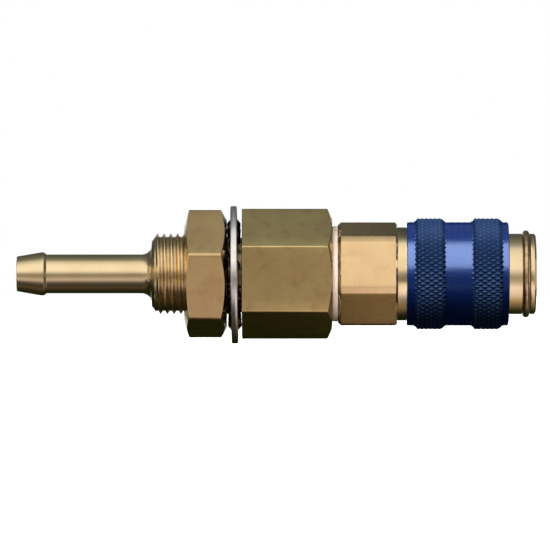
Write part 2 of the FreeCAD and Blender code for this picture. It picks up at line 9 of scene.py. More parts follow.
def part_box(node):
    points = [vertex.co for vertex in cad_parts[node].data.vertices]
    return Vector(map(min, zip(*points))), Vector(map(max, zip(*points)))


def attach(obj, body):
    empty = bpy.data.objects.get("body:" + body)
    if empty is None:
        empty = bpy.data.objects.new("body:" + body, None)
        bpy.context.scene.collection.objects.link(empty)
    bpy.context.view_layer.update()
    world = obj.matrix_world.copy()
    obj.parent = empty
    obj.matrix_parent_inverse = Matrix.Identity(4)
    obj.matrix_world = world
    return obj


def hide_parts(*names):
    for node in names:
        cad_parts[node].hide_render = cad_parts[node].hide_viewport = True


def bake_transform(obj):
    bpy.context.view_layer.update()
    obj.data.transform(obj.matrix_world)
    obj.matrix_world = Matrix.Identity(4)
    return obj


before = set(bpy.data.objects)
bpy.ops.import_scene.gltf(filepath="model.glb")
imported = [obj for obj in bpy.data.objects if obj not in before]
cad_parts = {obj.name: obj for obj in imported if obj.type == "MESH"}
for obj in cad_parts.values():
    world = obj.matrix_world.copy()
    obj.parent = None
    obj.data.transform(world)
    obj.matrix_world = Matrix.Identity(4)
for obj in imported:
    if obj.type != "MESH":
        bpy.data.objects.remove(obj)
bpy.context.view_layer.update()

# Brass quick coupling with a bulkhead hose tail. Shapes are written in millimetres along the X axis,
# as (place, radius, rounding of the edge), and become metres when their mesh is made.

MM = 0.001
TURN = 2 * math.pi
MERGE = 1e-7
HEX_SIDES = 6


def reach(node):
    """Where a CAD node starts and ends along the axis, in millimetres."""
    low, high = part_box(node)
    return low.x / MM, high.x / MM


TAIL_TIP, HEX_FRONT = reach("bulkhead_body")
NUT_BACK, NUT_FRONT = reach("lock_nut")
SEAL_BACK, SEAL_FRONT = reach("sealing_ring")
STUB_END, SPIGOT_END = reach("rear_adapter")
HOUSING_BACK, HOUSING_FRONT = reach("housing")
SLEEVE_BACK, SLEEVE_FRONT = reach("sleeve")
SNAP_MIDDLE = sum(reach("snap_ring")) / 2
WASHER_MIDDLE = sum(reach("lock_washer")) / 2
BALL_MIDDLE = sum(reach("lock_ball_1")) / 2

# Hose tail, panel thread and hexagon
TAIL_R = 2.9
BARB_R = 3.23
BARB_TIP_R = 2.6
BARB_CONE = 3.65
BARB_LAND = 0.4
BARB_BACK = 0.4
BARB_EDGE = 0.04
BARB_FOOT = 0.1
TAIL_FILLET = 1.55
FLOW_R = 1.9
FLOW_EDGE = 0.25
THREAD_LENGTH = 13.4
THREAD_R = 6.0
THREAD_ROOT_R = 5.52
THREAD_START_R = 4.85
THREAD_LEAD = 0.8
THREAD_PITCH = 1.0
THREAD_STEPS = 16
FLANK_START = 0.25
FLANK = 0.625
RELIEF_R = 5.35
RELIEF_LENGTH = 0.8
HEX_FLATS = 17.0
HEX_TURN = 25.0
HEX_FACE_R = 8.2
HEX_BEVEL = 25.0
PORT_R = 4.9
PORT_DEPTH = 8.0
DRILL_POINT = 59.0

# Lock nut and lock washer
NUT_TURN = 17.0
NUT_BORE_R = 6.05
NUT_SINK = 0.45
NUT_FRONT_FACE_R = 7.9
NUT_FRONT_BEVEL = 25.0
NUT_BACK_FACE_R = 6.9
NUT_BACK_BEVEL = 15.0
WASHER_R = 10.24
WASHER_SHEET = 1.0
WASHER_EDGE = 0.2
WASHER_TILT = 0.6
WASHER_DROP = 0.13
TOOTH_TIP_R = 6.3
TOOTH_ROOT_R = 8.35
RING_INNER_R = 8.1
TOOTH_SHEET = 0.85
TOOTH_TIP = 2.4
TOOTH_ROOT = 2.9
TOOTH_TWIST = 29.0
TOOTH_COUNT = 10
TOOTH_BEND = 0.35
TOOTH_GRID = {"Vertices_X": 2, "Vertices_Y": 6, "Vertices_Z": 14}

# Sealing ring, rear adapter, housing's outside, snap ring and springs
SEAL_R = 7.1
SEAL_INNER_R = 5.0
SEAL_EDGE = 0.16
STUB_R = 4.85
STUB_LEAD = 0.8
ADAPTER_FLATS = 14.0
ADAPTER_TURN = 42.0
ADAPTER_CORNER_R = 7.75
ADAPTER_EDGE = 0.45
ADAPTER_FRONT_EDGE = 0.25
ADAPTER_BORE_R = 2.5
POCKET_R = 3.6
POCKET_DEPTH = 5.6
SPIGOT_R = 5.2
COLLAR_R = 6.95
COLLAR_LENGTH = 4.2
NOSE_R = 6.0
SNAP_WIRE = 1.05
SNAP_R = 6.5
SNAP_ROOM = 0.05
SNAP_OPEN = 20.0
# Springs, as (piece, CAD node, body at the moving end, turns, mean radius, wire)
SPRINGS = (
    ("sleeve_return_spring", "sleeve_spring", "locking_sleeve", 4.5, 6.525, 0.75),
    ("valve_closing_spring", "valve_spring", "shut_off_valve", 8, 3.0, 0.6),
)
WIRE_SIDES = 16
WIRE_STEPS = 48
WIRE_LEAST_STEPS = 96

# Sleeve and its knurled bands
LAND_R = 7.725
BAND_R = 8.3
BAND_LENGTH = 3.58
BAND_BEVEL = 0.6
END_LAND = 0.82
KNURL_DEPTH = 0.23
KNURL_POINT = 0.1
KNURL_DIAMONDS = 66
KNURL_STEPS = 8
KNURL_ROWS = 30
KNURL_BEVEL_ROWS = 4


# Formulas in node trees

def plug(socket, value):
    """Sets a socket, or links it if the value is a field of the tree."""
    if isinstance(value, Field):
        value.tree.links.new(value.socket, socket)
    else:
        socket.default_value = value


class Field:
    """An output in a node tree. Formulas can be written with those that are numbers."""

    def __init__(self, socket):
        self.socket = socket
        self.tree = socket.id_data

    def math(self, operation, *others):
        node = self.tree.nodes.new("ShaderNodeMath")
        node.operation = operation
        for socket, value in zip(node.inputs, (self, *others)):
            plug(socket, value)
        return Field(node.outputs[0])

    __add__ = partialmethod(math, "ADD")
    __sub__ = partialmethod(math, "SUBTRACT")
    __mul__ = partialmethod(math, "MULTIPLY")
    __truediv__ = partialmethod(math, "DIVIDE")
    at_most = partialmethod(math, "MINIMUM")
    at_least = partialmethod(math, "MAXIMUM")
    sine = partialmethod(math, "SINE")
    cosine = partialmethod(math, "COSINE")

    def ridge(self):
        """A zigzag of period 1 that is 1 at whole numbers and 0 halfway between them."""
        return (self.math("FRACT") * 2.0 - 1.0).math("ABSOLUTE")


# Geometry node trees

def new_tree(name, counts, sizes):
    """A geometry node tree with inputs named for its counts, its sizes and its material, as fields."""
    tree = bpy.data.node_groups.new(name, "GeometryNodeTree")
    kinds = {label: "NodeSocketInt" for label in counts.split(", ")}
    kinds.update({label: "NodeSocketFloat" for label in sizes.split(", ")})
    kinds["Material"] = "NodeSocketMaterial"
    for label, kind in kinds.items():
        tree.interface.new_socket(label, in_out="INPUT", socket_type=kind)
    tree.interface.new_socket("Geometry", in_out="OUTPUT", socket_type="NodeSocketGeometry")
    source = tree.nodes.new("NodeGroupInput")
    return tree, {label: out(source, label) for label in kinds}


def add(tree, kind, **sockets):
    """A node of a tree; each keyword names one of its inputs, with _ for a space."""
    node = tree.nodes.new(kind)
    for label, value in sockets.items():
        plug(node.inputs[label.replace("_", " ")], value)
    return node


def out(node, label=0):
    return Field(node.outputs[label])


def field(tree, kind, output=0, **sockets):
    """One output of a new node."""
    return out(add(tree, kind, **sockets), output)


def combine(x, y, z):
    return field(x.tree, "ShaderNodeCombineXYZ", X=x, Y=y, Z=z)


def split(vector):
    """The three parts of a vector."""
    node = add(vector.tree, "ShaderNodeSeparateXYZ", Vector=vector)
    return [out(node, label) for label in "XYZ"]


def end_tree(geometry, material):
    """Closes a tree with Realize Instances and Set Material."""
    tree = geometry.tree
    real = field(tree, "GeometryNodeRealizeInstances", Geometry=geometry)
    painted = field(tree, "GeometryNodeSetMaterial", Geometry=real, Material=material)
    plug(tree.nodes.new("NodeGroupOutput").inputs[0], painted)
    return tree


def unit_grid(tree, columns, rows):
    """A grid and the two fields that run from 0 to 1 along it."""
    grid = field(tree, "GeometryNodeMeshGrid", "Mesh", Size_X=1.0, Size_Y=1.0,
                 Vertices_X=columns + 1.0, Vertices_Y=rows + 1.0)
    x, y, _ = split(field(tree, "GeometryNodeInputPosition"))
    return grid, x + 0.5, y + 0.5


def wrap_round(mesh, along, radius, angle):
    """Bends a grid round the axis, each point at its own place, radius and angle, and closes the seam."""
    place = combine(along, radius * angle.cosine(), radius * angle.sine())
    moved = field(mesh.tree, "GeometryNodeSetPosition", Geometry=mesh, Position=place)
    return field(mesh.tree, "GeometryNodeMergeByDistance", Geometry=moved, Distance=MERGE)


def thread_tree():
    """A right-hand thread: the grid's rows follow the helix, so its crests and roots are clean lines."""
    tree, size = new_tree(
        "panel thread", "Columns, Rows, Steps Per Turn",
        "Start, Length, Pitch, Crest Radius, Root Radius, Lead Radius, Lead Length, Relief Radius, "
        "First Angle, Gather")
    mesh, across, down = unit_grid(tree, size["Columns"], size["Rows"])
    sides = HEX_SIDES * TURN
    turned = across - (across * sides).sine() * size["Gather"] / sides
    steps = down * size["Rows"] / size["Steps Per Turn"]
    along = ((steps - 1.0 + turned) * size["Pitch"]).at_least(0.0).at_most(size["Length"])
    height = ((along / size["Pitch"] - turned).ridge() - FLANK_START) / FLANK
    depth = size["Crest Radius"] - size["Root Radius"]
    radius = size["Root Radius"] + depth * height.at_least(0.0).at_most(1.0)
    rise = size["Crest Radius"] - size["Lead Radius"]
    lead = size["Lead Radius"] + along * rise / size["Lead Length"]
    runout = size["Relief Radius"] + (size["Length"] - along)
    radius = radius.at_most(lead).at_most(runout)
    angle = size["First Angle"] + turned * TURN
    thread = wrap_round(mesh, size["Start"] + along, radius, angle)
    return end_tree(thread, size["Material"])


def knurl_tree():
    """A band of diamonds where two sets of V grooves cross, with a bevel at each end."""
    tree, size = new_tree(
        "knurled band", "Columns, Rows, Diamonds",
        "Start, Length, Crest Radius, Depth, Land Radius, Bevel, Diamond Length")
    mesh, across, down = unit_grid(tree, size["Columns"], size["Rows"])
    along = down * size["Length"]
    round_count = across * size["Diamonds"]
    long_count = along / size["Diamond Length"]
    height = (round_count + long_count).ridge().at_most((round_count - long_count).ridge())
    to_end = along.at_most(size["Length"] - along)
    rise = size["Crest Radius"] - size["Land Radius"]
    bevel = size["Land Radius"] + to_end * rise / size["Bevel"]
    radius = bevel.at_most(size["Crest Radius"]) + (height - 1.0) * size["Depth"]
    radius = radius.at_least(size["Land Radius"])
    band = wrap_round(mesh, size["Start"] + along, radius, across * TURN)
    return end_tree(band, size["Material"])


def wire_tree():
    """Round wire wound about the axis: a spring, or a ring where it doesn't advance."""
    tree, size = new_tree(
        "wound wire", "Points, Sides", "Start, Advance, Turns, Mean Radius, Wire, First Angle")
    straight = field(tree, "GeometryNodeCurvePrimitiveLine")
    line = field(tree, "GeometryNodeResampleCurve", Curve=straight, Count=size["Points"])
    share = field(tree, "GeometryNodeSplineParameter", "Factor")
    angle = size["First Angle"] + share * size["Turns"] * TURN
    place = combine(size["Start"] + share * size["Advance"], angle.cosine() * size["Mean Radius"],
                    angle.sine() * size["Mean Radius"])
    wound = field(tree, "GeometryNodeSetPosition", Geometry=line, Position=place)
    section = field(tree, "GeometryNodeCurvePrimitiveCircle", Resolution=size["Sides"],
                    Radius=size["Wire"] / 2.0)
    wire = field(tree, "GeometryNodeCurveToMesh", Curve=wound, Profile_Curve=section, Fill_Caps=True)
    return end_tree(wire, size["Material"])


def teeth_tree():
    """The lock washer's inner teeth, each twisted more towards its tip."""
    tree, size = new_tree(
        "washer teeth", "Count", "Tip Radius, Root Radius, Tip Width, Root Width, Sheet, Twist")
    block = field(tree, "GeometryNodeMeshCube", "Mesh", **TOOTH_GRID)
    x, y, z = split(field(tree, "GeometryNodeInputPosition"))
    rise = z + 0.5
    width = size["Tip Width"] + (size["Root Width"] - size["Tip Width"]) * rise
    through = x * size["Sheet"]
    aside = y * width
    twist = size["Twist"] * ((rise * -1.0 + 1.0) / TOOTH_BEND).at_most(1.0)
    radius = size["Tip Radius"] + (size["Root Radius"] - size["Tip Radius"]) * rise
    place = combine(through * twist.cosine() - aside * twist.sine(),
                    through * twist.sine() + aside * twist.cosine(), radius)
    tooth = field(tree, "GeometryNodeSetPosition", Geometry=block, Position=place)
    points = field(tree, "GeometryNodeMeshLine", Count=size["Count"], Offset=(0.0, 0.0, 0.0))
    step = field(tree, "GeometryNodeInputIndex") * TURN / size["Count"]
    teeth = field(tree, "GeometryNodeInstanceOnPoints", Points=points, Instance=tooth,
                  Rotation=combine(step, 0.0, 0.0))
    return end_tree(teeth, size["Material"])


def placed(name, data):
    """A new object in the scene, at the origin."""
    thing = bpy.data.objects.new(name, data)
    bpy.context.scene.collection.objects.link(thing)
    return thing


def grown(tree, material, **sizes):
    """The plain mesh that a tree makes from its sizes, with the modifier gone."""
    seed = placed("seed", bpy.data.meshes.new("seed"))
    modifier = seed.modifiers.new("grow", "NODES")
    modifier.node_group = tree
    values = {label.replace("_", " "): value for label, value in sizes.items()}
    values["Material"] = material
    for item in tree.interface.items_tree:
        if item.in_out == "INPUT":
            modifier[item.identifier] = values[item.name]
    return settled(seed)


def settled(piece):
    """The evaluated mesh of an object with modifiers, which is then removed."""
    evaluated = piece.evaluated_get(bpy.context.evaluated_depsgraph_get())
    mesh = bpy.data.meshes.new_from_object(evaluated)
    bpy.data.objects.remove(piece)
    return mesh


# Turned and hexagonal shapes

COLUMNS = 180
GATHER = 0.8
ROUND_STEPS = 3
BIG_ROUNDING = 0.5
BIG_ROUND_STEPS = 10
WHOLE_SIDE = 0.96
HALF_SIDE = 0.48


def angles_round(first, columns=COLUMNS, gather=0.0):
    """Angles about the axis in radians, gathered towards the six corners of a hexagon where asked."""
    angles = []
    for index in range(columns):
        pull = gather / HEX_SIDES * math.sin(HEX_SIDES * TURN * index / columns)
        angles.append(first + TURN * (index / columns) - pull)
    return angles


def free_share(neighbour):
    """How much of an outline's side a rounding may take, going by the corner at its other end."""
    return WHOLE_SIDE if neighbour[2] == 0 else HALF_SIDE


def rounded(corners):
    """An outline whose corners (place, radius, rounding) become arcs; an open one's ends have none."""
    points = []
    count = len(corners)
    for index, (x, r, size) in enumerate(corners):
        here = Vector((x, r))
        if size == 0:
            points.append(here)
            continue
        before = corners[index - 1]
        after = corners[(index + 1) % count]
        back = Vector(before[:2]) - here
        ahead = Vector(after[:2]) - here
        half = back.angle(ahead) / 2
        room = min(back.length * free_share(before), ahead.length * free_share(after))
        trim = min(size / math.tan(half), room)
        start = here + back.normalized() * trim
        end = here + ahead.normalized() * trim
        middle = (back.normalized() + ahead.normalized()).normalized()
        centre = here + middle * (trim / math.cos(half))
        steps = ROUND_STEPS if size < BIG_ROUNDING else BIG_ROUND_STEPS
        for step in range(steps + 1):
            arm = (start - centre).lerp(end - centre, step / steps)
            points.append(centre + arm.normalized() * (start - centre).length)
    return points


def spun(profile, angles, closed=True):
    """A mesh turned about the axis; profile gives the outline at an angle, in millimetres."""
    mesh = bmesh.new()
    columns = []
    for angle in angles:
        outline = rounded(profile(angle))
        across, up = math.cos(angle), math.sin(angle)
        columns.append([mesh.verts.new((p.x * MM, p.y * MM * across, p.y * MM * up)) for p in outline])
    rows = len(columns[0])
    for index, column in enumerate(columns):
        following = columns[(index + 1) % len(columns)]
        for row in range(rows if closed else rows - 1):
            below = (row + 1) % rows
            mesh.faces.new((column[row], column[below], following[below], following[row]))
    return mesh


def flat_ring(back, front, inner, outer, edge):
    """A ring of sheet with its outer edges rounded."""
    corners = [(back, inner, 0), (back, outer, edge), (front, outer, edge), (front, inner, 0)]
    return spun(lambda _: corners, angles_round(0))


def corner_heading(turn):
    """The angle about the axis of a hexagon's corner that stands some degrees above the near horizon."""
    return math.pi - math.radians(turn)


HEX_ROUNDING = 0.35
NUT_ROUNDING = 0.6
HEX_CROWN = 0.04
CROWN_POWER = 6
WORN_START = 0.66
WORN_TILT = 2.0


def hexagon_radius(angle, flats, turn, rounding, crown=0.0, worn=0.0):
    """Distance from the axis to a hexagonal bar's surface, with rounded corners.

    A crown lowers each flat by that much towards its edges. Where worn is 1, each flat has a strip along
    one edge that a spanner has pressed down.
    """
    sector = math.radians(360 / HEX_SIDES)
    flat = flats / 2
    side = (angle - corner_heading(turn) + sector / 2) % sector - sector / 2
    from_corner = abs(side)
    from_flat = sector / 2 - from_corner
    centre = (flat - rounding) / math.cos(sector / 2)
    edge = math.atan2(rounding * math.sin(sector / 2), centre + rounding * math.cos(sector / 2))
    share = math.tan(from_flat) / math.tan(sector / 2)
    drop = crown * share ** CROWN_POWER
    if side < 0:
        strip = max(share - WORN_START, 0) * flat * math.tan(sector / 2)
        drop += worn * strip * slope(WORN_TILT)
    if from_corner < edge:
        reach_out = rounding ** 2 - (centre * math.sin(from_corner)) ** 2
        return centre * math.cos(from_corner) + math.sqrt(reach_out) - drop
    return flat / math.cos(from_flat) - drop


def slope(degrees):
    return math.tan(math.radians(degrees))


FLAT_TILT = 0.02


def paint(mesh, drawn_from, pink, painted_shade):
    """Marks the drawn flats, their share of pink, and each point's painted shade for gaps and recesses,
    by its place and its radius.
    """
    drawn = mesh.faces.layers.float.new("drawn")
    tone = mesh.faces.layers.float.new("pink")
    shade_layer = mesh.verts.layers.float.new("painted_shade")
    for face in mesh.faces:
        centre = face.calc_center_median()
        outside = math.hypot(centre.y, centre.z) > drawn_from * MM
        face[drawn] = 1.0 if outside and abs(face.normal.x) < FLAT_TILT else 0.0
        face[tone] = pink
    for vert in mesh.verts:
        level = painted_shade(vert.co.x / MM, math.hypot(vert.co.y, vert.co.z) / MM)
        vert[shade_layer] = min(max(level, 0.0), 1.0)


# No painted shade anywhere.
def unshaded(x, r):
    return 0.0


def plain(name, built):
    """The plain mesh of a built one, which is freed."""
    data = bpy.data.meshes.new(name)
    built.to_mesh(data)
    built.free()
    return data


def finished(name, mesh, material, node, second=None, sharp=40.0, weighted=False,
             drawn_from=math.inf, pink=0.0, painted_shade=unshaded):
    """Turns a built mesh into the piece that stands for a CAD node; second is the material of index 1."""
    bmesh.ops.remove_doubles(mesh, verts=mesh.verts, dist=MERGE)
    bmesh.ops.dissolve_degenerate(mesh, edges=mesh.edges, dist=MERGE)
    bmesh.ops.recalc_face_normals(mesh, faces=mesh.faces)
    mesh.normal_update()
    paint(mesh, drawn_from, pink, painted_shade)
    for face in mesh.faces:
        face.smooth = True
    for edge in mesh.edges:
        edge.smooth = edge.calc_face_angle(0.0) < math.radians(sharp)
    data = plain(name, mesh)
    data.materials.append(material)
    if second:
        data.materials.append(second)
    piece = placed(name, data)
    if weighted:
        weights = piece.modifiers.new("weights", "WEIGHTED_NORMAL")
        weights.keep_sharp = True
        data = settled(piece)
        data.name = name
        piece = placed(name, data)
    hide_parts(node)
    return piece


def add_mesh(mesh, data):
    """Adds a plain mesh to one that is being built."""
    mesh.from_mesh(data)
    bpy.data.meshes.remove(data)


def combined(first, second, operation):
    """Two closed built meshes joined or cut by a boolean, as a built mesh."""
    solids = []
    for built in (first, second):
        bmesh.ops.remove_doubles(built, verts=built.verts, dist=MERGE)
        bmesh.ops.recalc_face_normals(built, faces=built.faces)
        solids.append(placed("solid", plain("solid", built)))
    cut = solids[0].modifiers.new("cut", "BOOLEAN")
    cut.operation = operation
    cut.solver = "EXACT"
    cut.object = solids[1]
    result = bmesh.new()
    add_mesh(result, settled(solids[0]))
    bpy.data.objects.remove(solids[1])
    return result


# Pieces

EDGE = 0.08
SOFT_EDGE = 0.12
FLAT_ROOM = 0.2
HEX_PINK = 0.25
NUT_PINK = 0.75
ADAPTER_PINK = 0.5
# How dark the painted shade is in gaps between parts, in recesses and in thread roots.
SLIGHT_PAINTED_SHADE = 0.3
NUT_PAINTED_SHADE = 0.8
DEEP_PAINTED_SHADE = 0.9
TOOTH_SHADE_FADE = 0.3
SKIN = 0.1
SEAM = 0.05
HAIR = 0.01


def make_bulkhead_body(brass):
    shoulder = -THREAD_LENGTH
    port_floor = HEX_FRONT - PORT_DEPTH
    barb_end = TAIL_TIP + BARB_CONE + BARB_LAND

    def profile(angle):
        corner = hexagon_radius(angle, HEX_FLATS, HEX_TURN, HEX_ROUNDING, HEX_CROWN, worn=1.0)
        return [
            (-RELIEF_LENGTH, RELIEF_R, 0),
            (0, RELIEF_R, EDGE),
            (0, corner, SOFT_EDGE),
            (HEX_FRONT - (corner - HEX_FACE_R) * slope(HEX_BEVEL), corner, EDGE),
            (HEX_FRONT, HEX_FACE_R, EDGE),
            (HEX_FRONT, PORT_R, EDGE),
            (port_floor, PORT_R, 0),
            (port_floor - (PORT_R - FLOW_R) / slope(DRILL_POINT), FLOW_R, 0),
            (TAIL_TIP, FLOW_R, FLOW_EDGE),
            (TAIL_TIP, BARB_TIP_R, SOFT_EDGE),
            (TAIL_TIP + BARB_CONE, BARB_R, EDGE),
            (barb_end, BARB_R, BARB_EDGE),
            (barb_end + BARB_BACK, TAIL_R, BARB_FOOT),
            (shoulder, TAIL_R, TAIL_FILLET),
            (shoulder, THREAD_START_R, 0),
        ]

    first = corner_heading(HEX_TURN)
    mesh = spun(profile, angles_round(first, gather=GATHER), closed=False)
    length = THREAD_LENGTH - RELIEF_LENGTH
    rows = math.ceil((length / THREAD_PITCH + 1) * THREAD_STEPS)
    add_mesh(mesh, grown(
        thread_tree(), brass, Columns=COLUMNS, Rows=rows, Steps_Per_Turn=THREAD_STEPS, First_Angle=first,
        Gather=GATHER, Start=shoulder * MM, Length=length * MM, Pitch=THREAD_PITCH * MM,
        Crest_Radius=THREAD_R * MM, Root_Radius=THREAD_ROOT_R * MM, Lead_Radius=THREAD_START_R * MM,
        Lead_Length=THREAD_LEAD * MM, Relief_Radius=RELIEF_R * MM))

    # Painted shade: darker on the faces that meet the seal and the washer, in the thread's roots, and
    # fully dark between the nut and the hexagon.
    def painted_shade(x, r):
        if x > HEX_FRONT - SKIN or -SKIN < x < HAIR:
            return SLIGHT_PAINTED_SHADE
        if x < shoulder or x > HAIR or r < FLOW_R + SKIN:
            return 0.0
        in_root = (THREAD_R - r) / (THREAD_R - THREAD_ROOT_R)
        return SLIGHT_PAINTED_SHADE * in_root if x < NUT_FRONT else 1.0

    piece = finished("hose_tail_and_hexagon", mesh, brass, "bulkhead_body", weighted=True,
                     drawn_from=HEX_FLATS / 2 - FLAT_ROOM, pink=HEX_PINK, painted_shade=painted_shade)
    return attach(piece, "body")


def make_lock_nut(brass):
    def profile(angle):
        corner = hexagon_radius(angle, HEX_FLATS, NUT_TURN, NUT_ROUNDING)
        return [
            (NUT_BACK, NUT_BORE_R + NUT_SINK, EDGE),
            (NUT_BACK, NUT_BACK_FACE_R, EDGE),
            (NUT_BACK + (corner - NUT_BACK_FACE_R) * slope(NUT_BACK_BEVEL), corner, EDGE),
            (NUT_FRONT - (corner - NUT_FRONT_FACE_R) * slope(NUT_FRONT_BEVEL), corner, EDGE),
            (NUT_FRONT, NUT_FRONT_FACE_R, EDGE),
            (NUT_FRONT, NUT_BORE_R + NUT_SINK, EDGE),
            (NUT_FRONT - NUT_SINK, NUT_BORE_R, 0),
            (NUT_BACK + NUT_SINK, NUT_BORE_R, 0),
        ]

    mesh = spun(profile, angles_round(corner_heading(NUT_TURN), gather=GATHER))

    # Painted shade on the face towards the washer and in the bore.
    def painted_shade(x, r):
        return NUT_PAINTED_SHADE if x > NUT_FRONT - SKIN or r < NUT_BORE_R + NUT_SINK else 0.0

    piece = finished("lock_nut_hexagon", mesh, brass, "lock_nut", weighted=True,
                     drawn_from=HEX_FLATS / 2 - FLAT_ROOM, pink=NUT_PINK, painted_shade=painted_shade)
    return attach(piece, "nut")


def make_lock_washer(steel):
    half = WASHER_SHEET / 2
    ring = flat_ring(-half, half, RING_INNER_R, WASHER_R, WASHER_EDGE)
    teeth = bmesh.new()
    add_mesh(teeth, grown(
        teeth_tree(), steel, Count=TOOTH_COUNT, Tip_Radius=TOOTH_TIP_R * MM,
        Root_Radius=TOOTH_ROOT_R * MM, Tip_Width=TOOTH_TIP * MM, Root_Width=TOOTH_ROOT * MM,
        Sheet=TOOTH_SHEET * MM, Twist=math.radians(TOOTH_TWIST)))
    washer = combined(ring, teeth, "UNION")
    lean = Matrix.Rotation(math.radians(WASHER_TILT), 4, Vector((0, -1, 0)))
    place = Matrix.Translation((WASHER_MIDDLE * MM, 0, -WASHER_DROP * MM))
    bmesh.ops.transform(washer, matrix=place @ lean, verts=washer.verts)

    # Painted shade on the teeth, fading out near the ring.
    def painted_shade(_, r):
        return (RING_INNER_R + SKIN - r) / TOOTH_SHADE_FADE

    piece = finished("toothed_washer", washer, steel, "lock_washer", sharp=35.0,
                     weighted=True, painted_shade=painted_shade)
    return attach(piece, "washer")


def make_sealing_ring(white):
    ring = flat_ring(SEAL_BACK, SEAL_FRONT, SEAL_INNER_R, SEAL_R, SEAL_EDGE)
    piece = finished("flat_seal", ring, white, "sealing_ring")
    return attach(piece, "body")


def make_rear_adapter(brass):
    back = SEAL_FRONT
    front = HOUSING_BACK

    def profile(angle):
        hexagon = hexagon_radius(angle, ADAPTER_FLATS, ADAPTER_TURN, HEX_ROUNDING, HEX_CROWN)
        corner = min(hexagon, ADAPTER_CORNER_R)
        face = max(corner - ADAPTER_FRONT_EDGE, COLLAR_R)
        return [
            (STUB_END, ADAPTER_BORE_R, EDGE),
            (STUB_END, STUB_R - STUB_LEAD, EDGE),
            (STUB_END + STUB_LEAD, STUB_R, 0),
            (back, STUB_R, 0),
            (back, corner - ADAPTER_EDGE, 0),
            (back + ADAPTER_EDGE, corner, EDGE),
            (front - ADAPTER_FRONT_EDGE, corner, EDGE),
            (front, face, 0),
            (front, SPIGOT_R, 0),
            (SPIGOT_END, SPIGOT_R, EDGE),
            (SPIGOT_END, POCKET_R, EDGE),
            (front - POCKET_DEPTH, POCKET_R, 0),
            (front - POCKET_DEPTH, ADAPTER_BORE_R, EDGE),
        ]

    mesh = spun(profile, angles_round(corner_heading(ADAPTER_TURN)))

    # Painted shade on the stub and on the face against the seal.
    def painted_shade(x, _):
        return DEEP_PAINTED_SHADE if x < back + SEAM else 0.0

    piece = finished("adapter_hexagon", mesh, brass, "rear_adapter", sharp=20.0, weighted=True,
                     drawn_from=ADAPTER_FLATS / 2 - FLAT_ROOM, pink=ADAPTER_PINK, painted_shade=painted_shade)
    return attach(piece, "body")


RING_SEAT_R = 6.06
RING_SEAT_DEPTH = 0.86
REAR_BORE_R = 5.25
REAR_BORE_DEPTH = 3.0
CHAMBER_R = 4.7
PLUG_R = 3.8
PLUG_GROOVE_R = 5.01
PLUG_GROOVE_LENGTH = 1.26
WEB = 0.5
BALL_R = 1.5
BALL_ROOM = 0.05
BALL_LIP_R = 1.349
BALL_LIP_TOP = 4.25
BALL_COUNT = 6
ENTRY_R = 4.2
ENTRY_DEPTH = 3.3
MOUTH_BEVEL = 0.5
RIM_EDGE = 0.25
RIM_ROUNDING = 0.15
HOLE_SIDES = 32
HOLE_PAST = 1.0


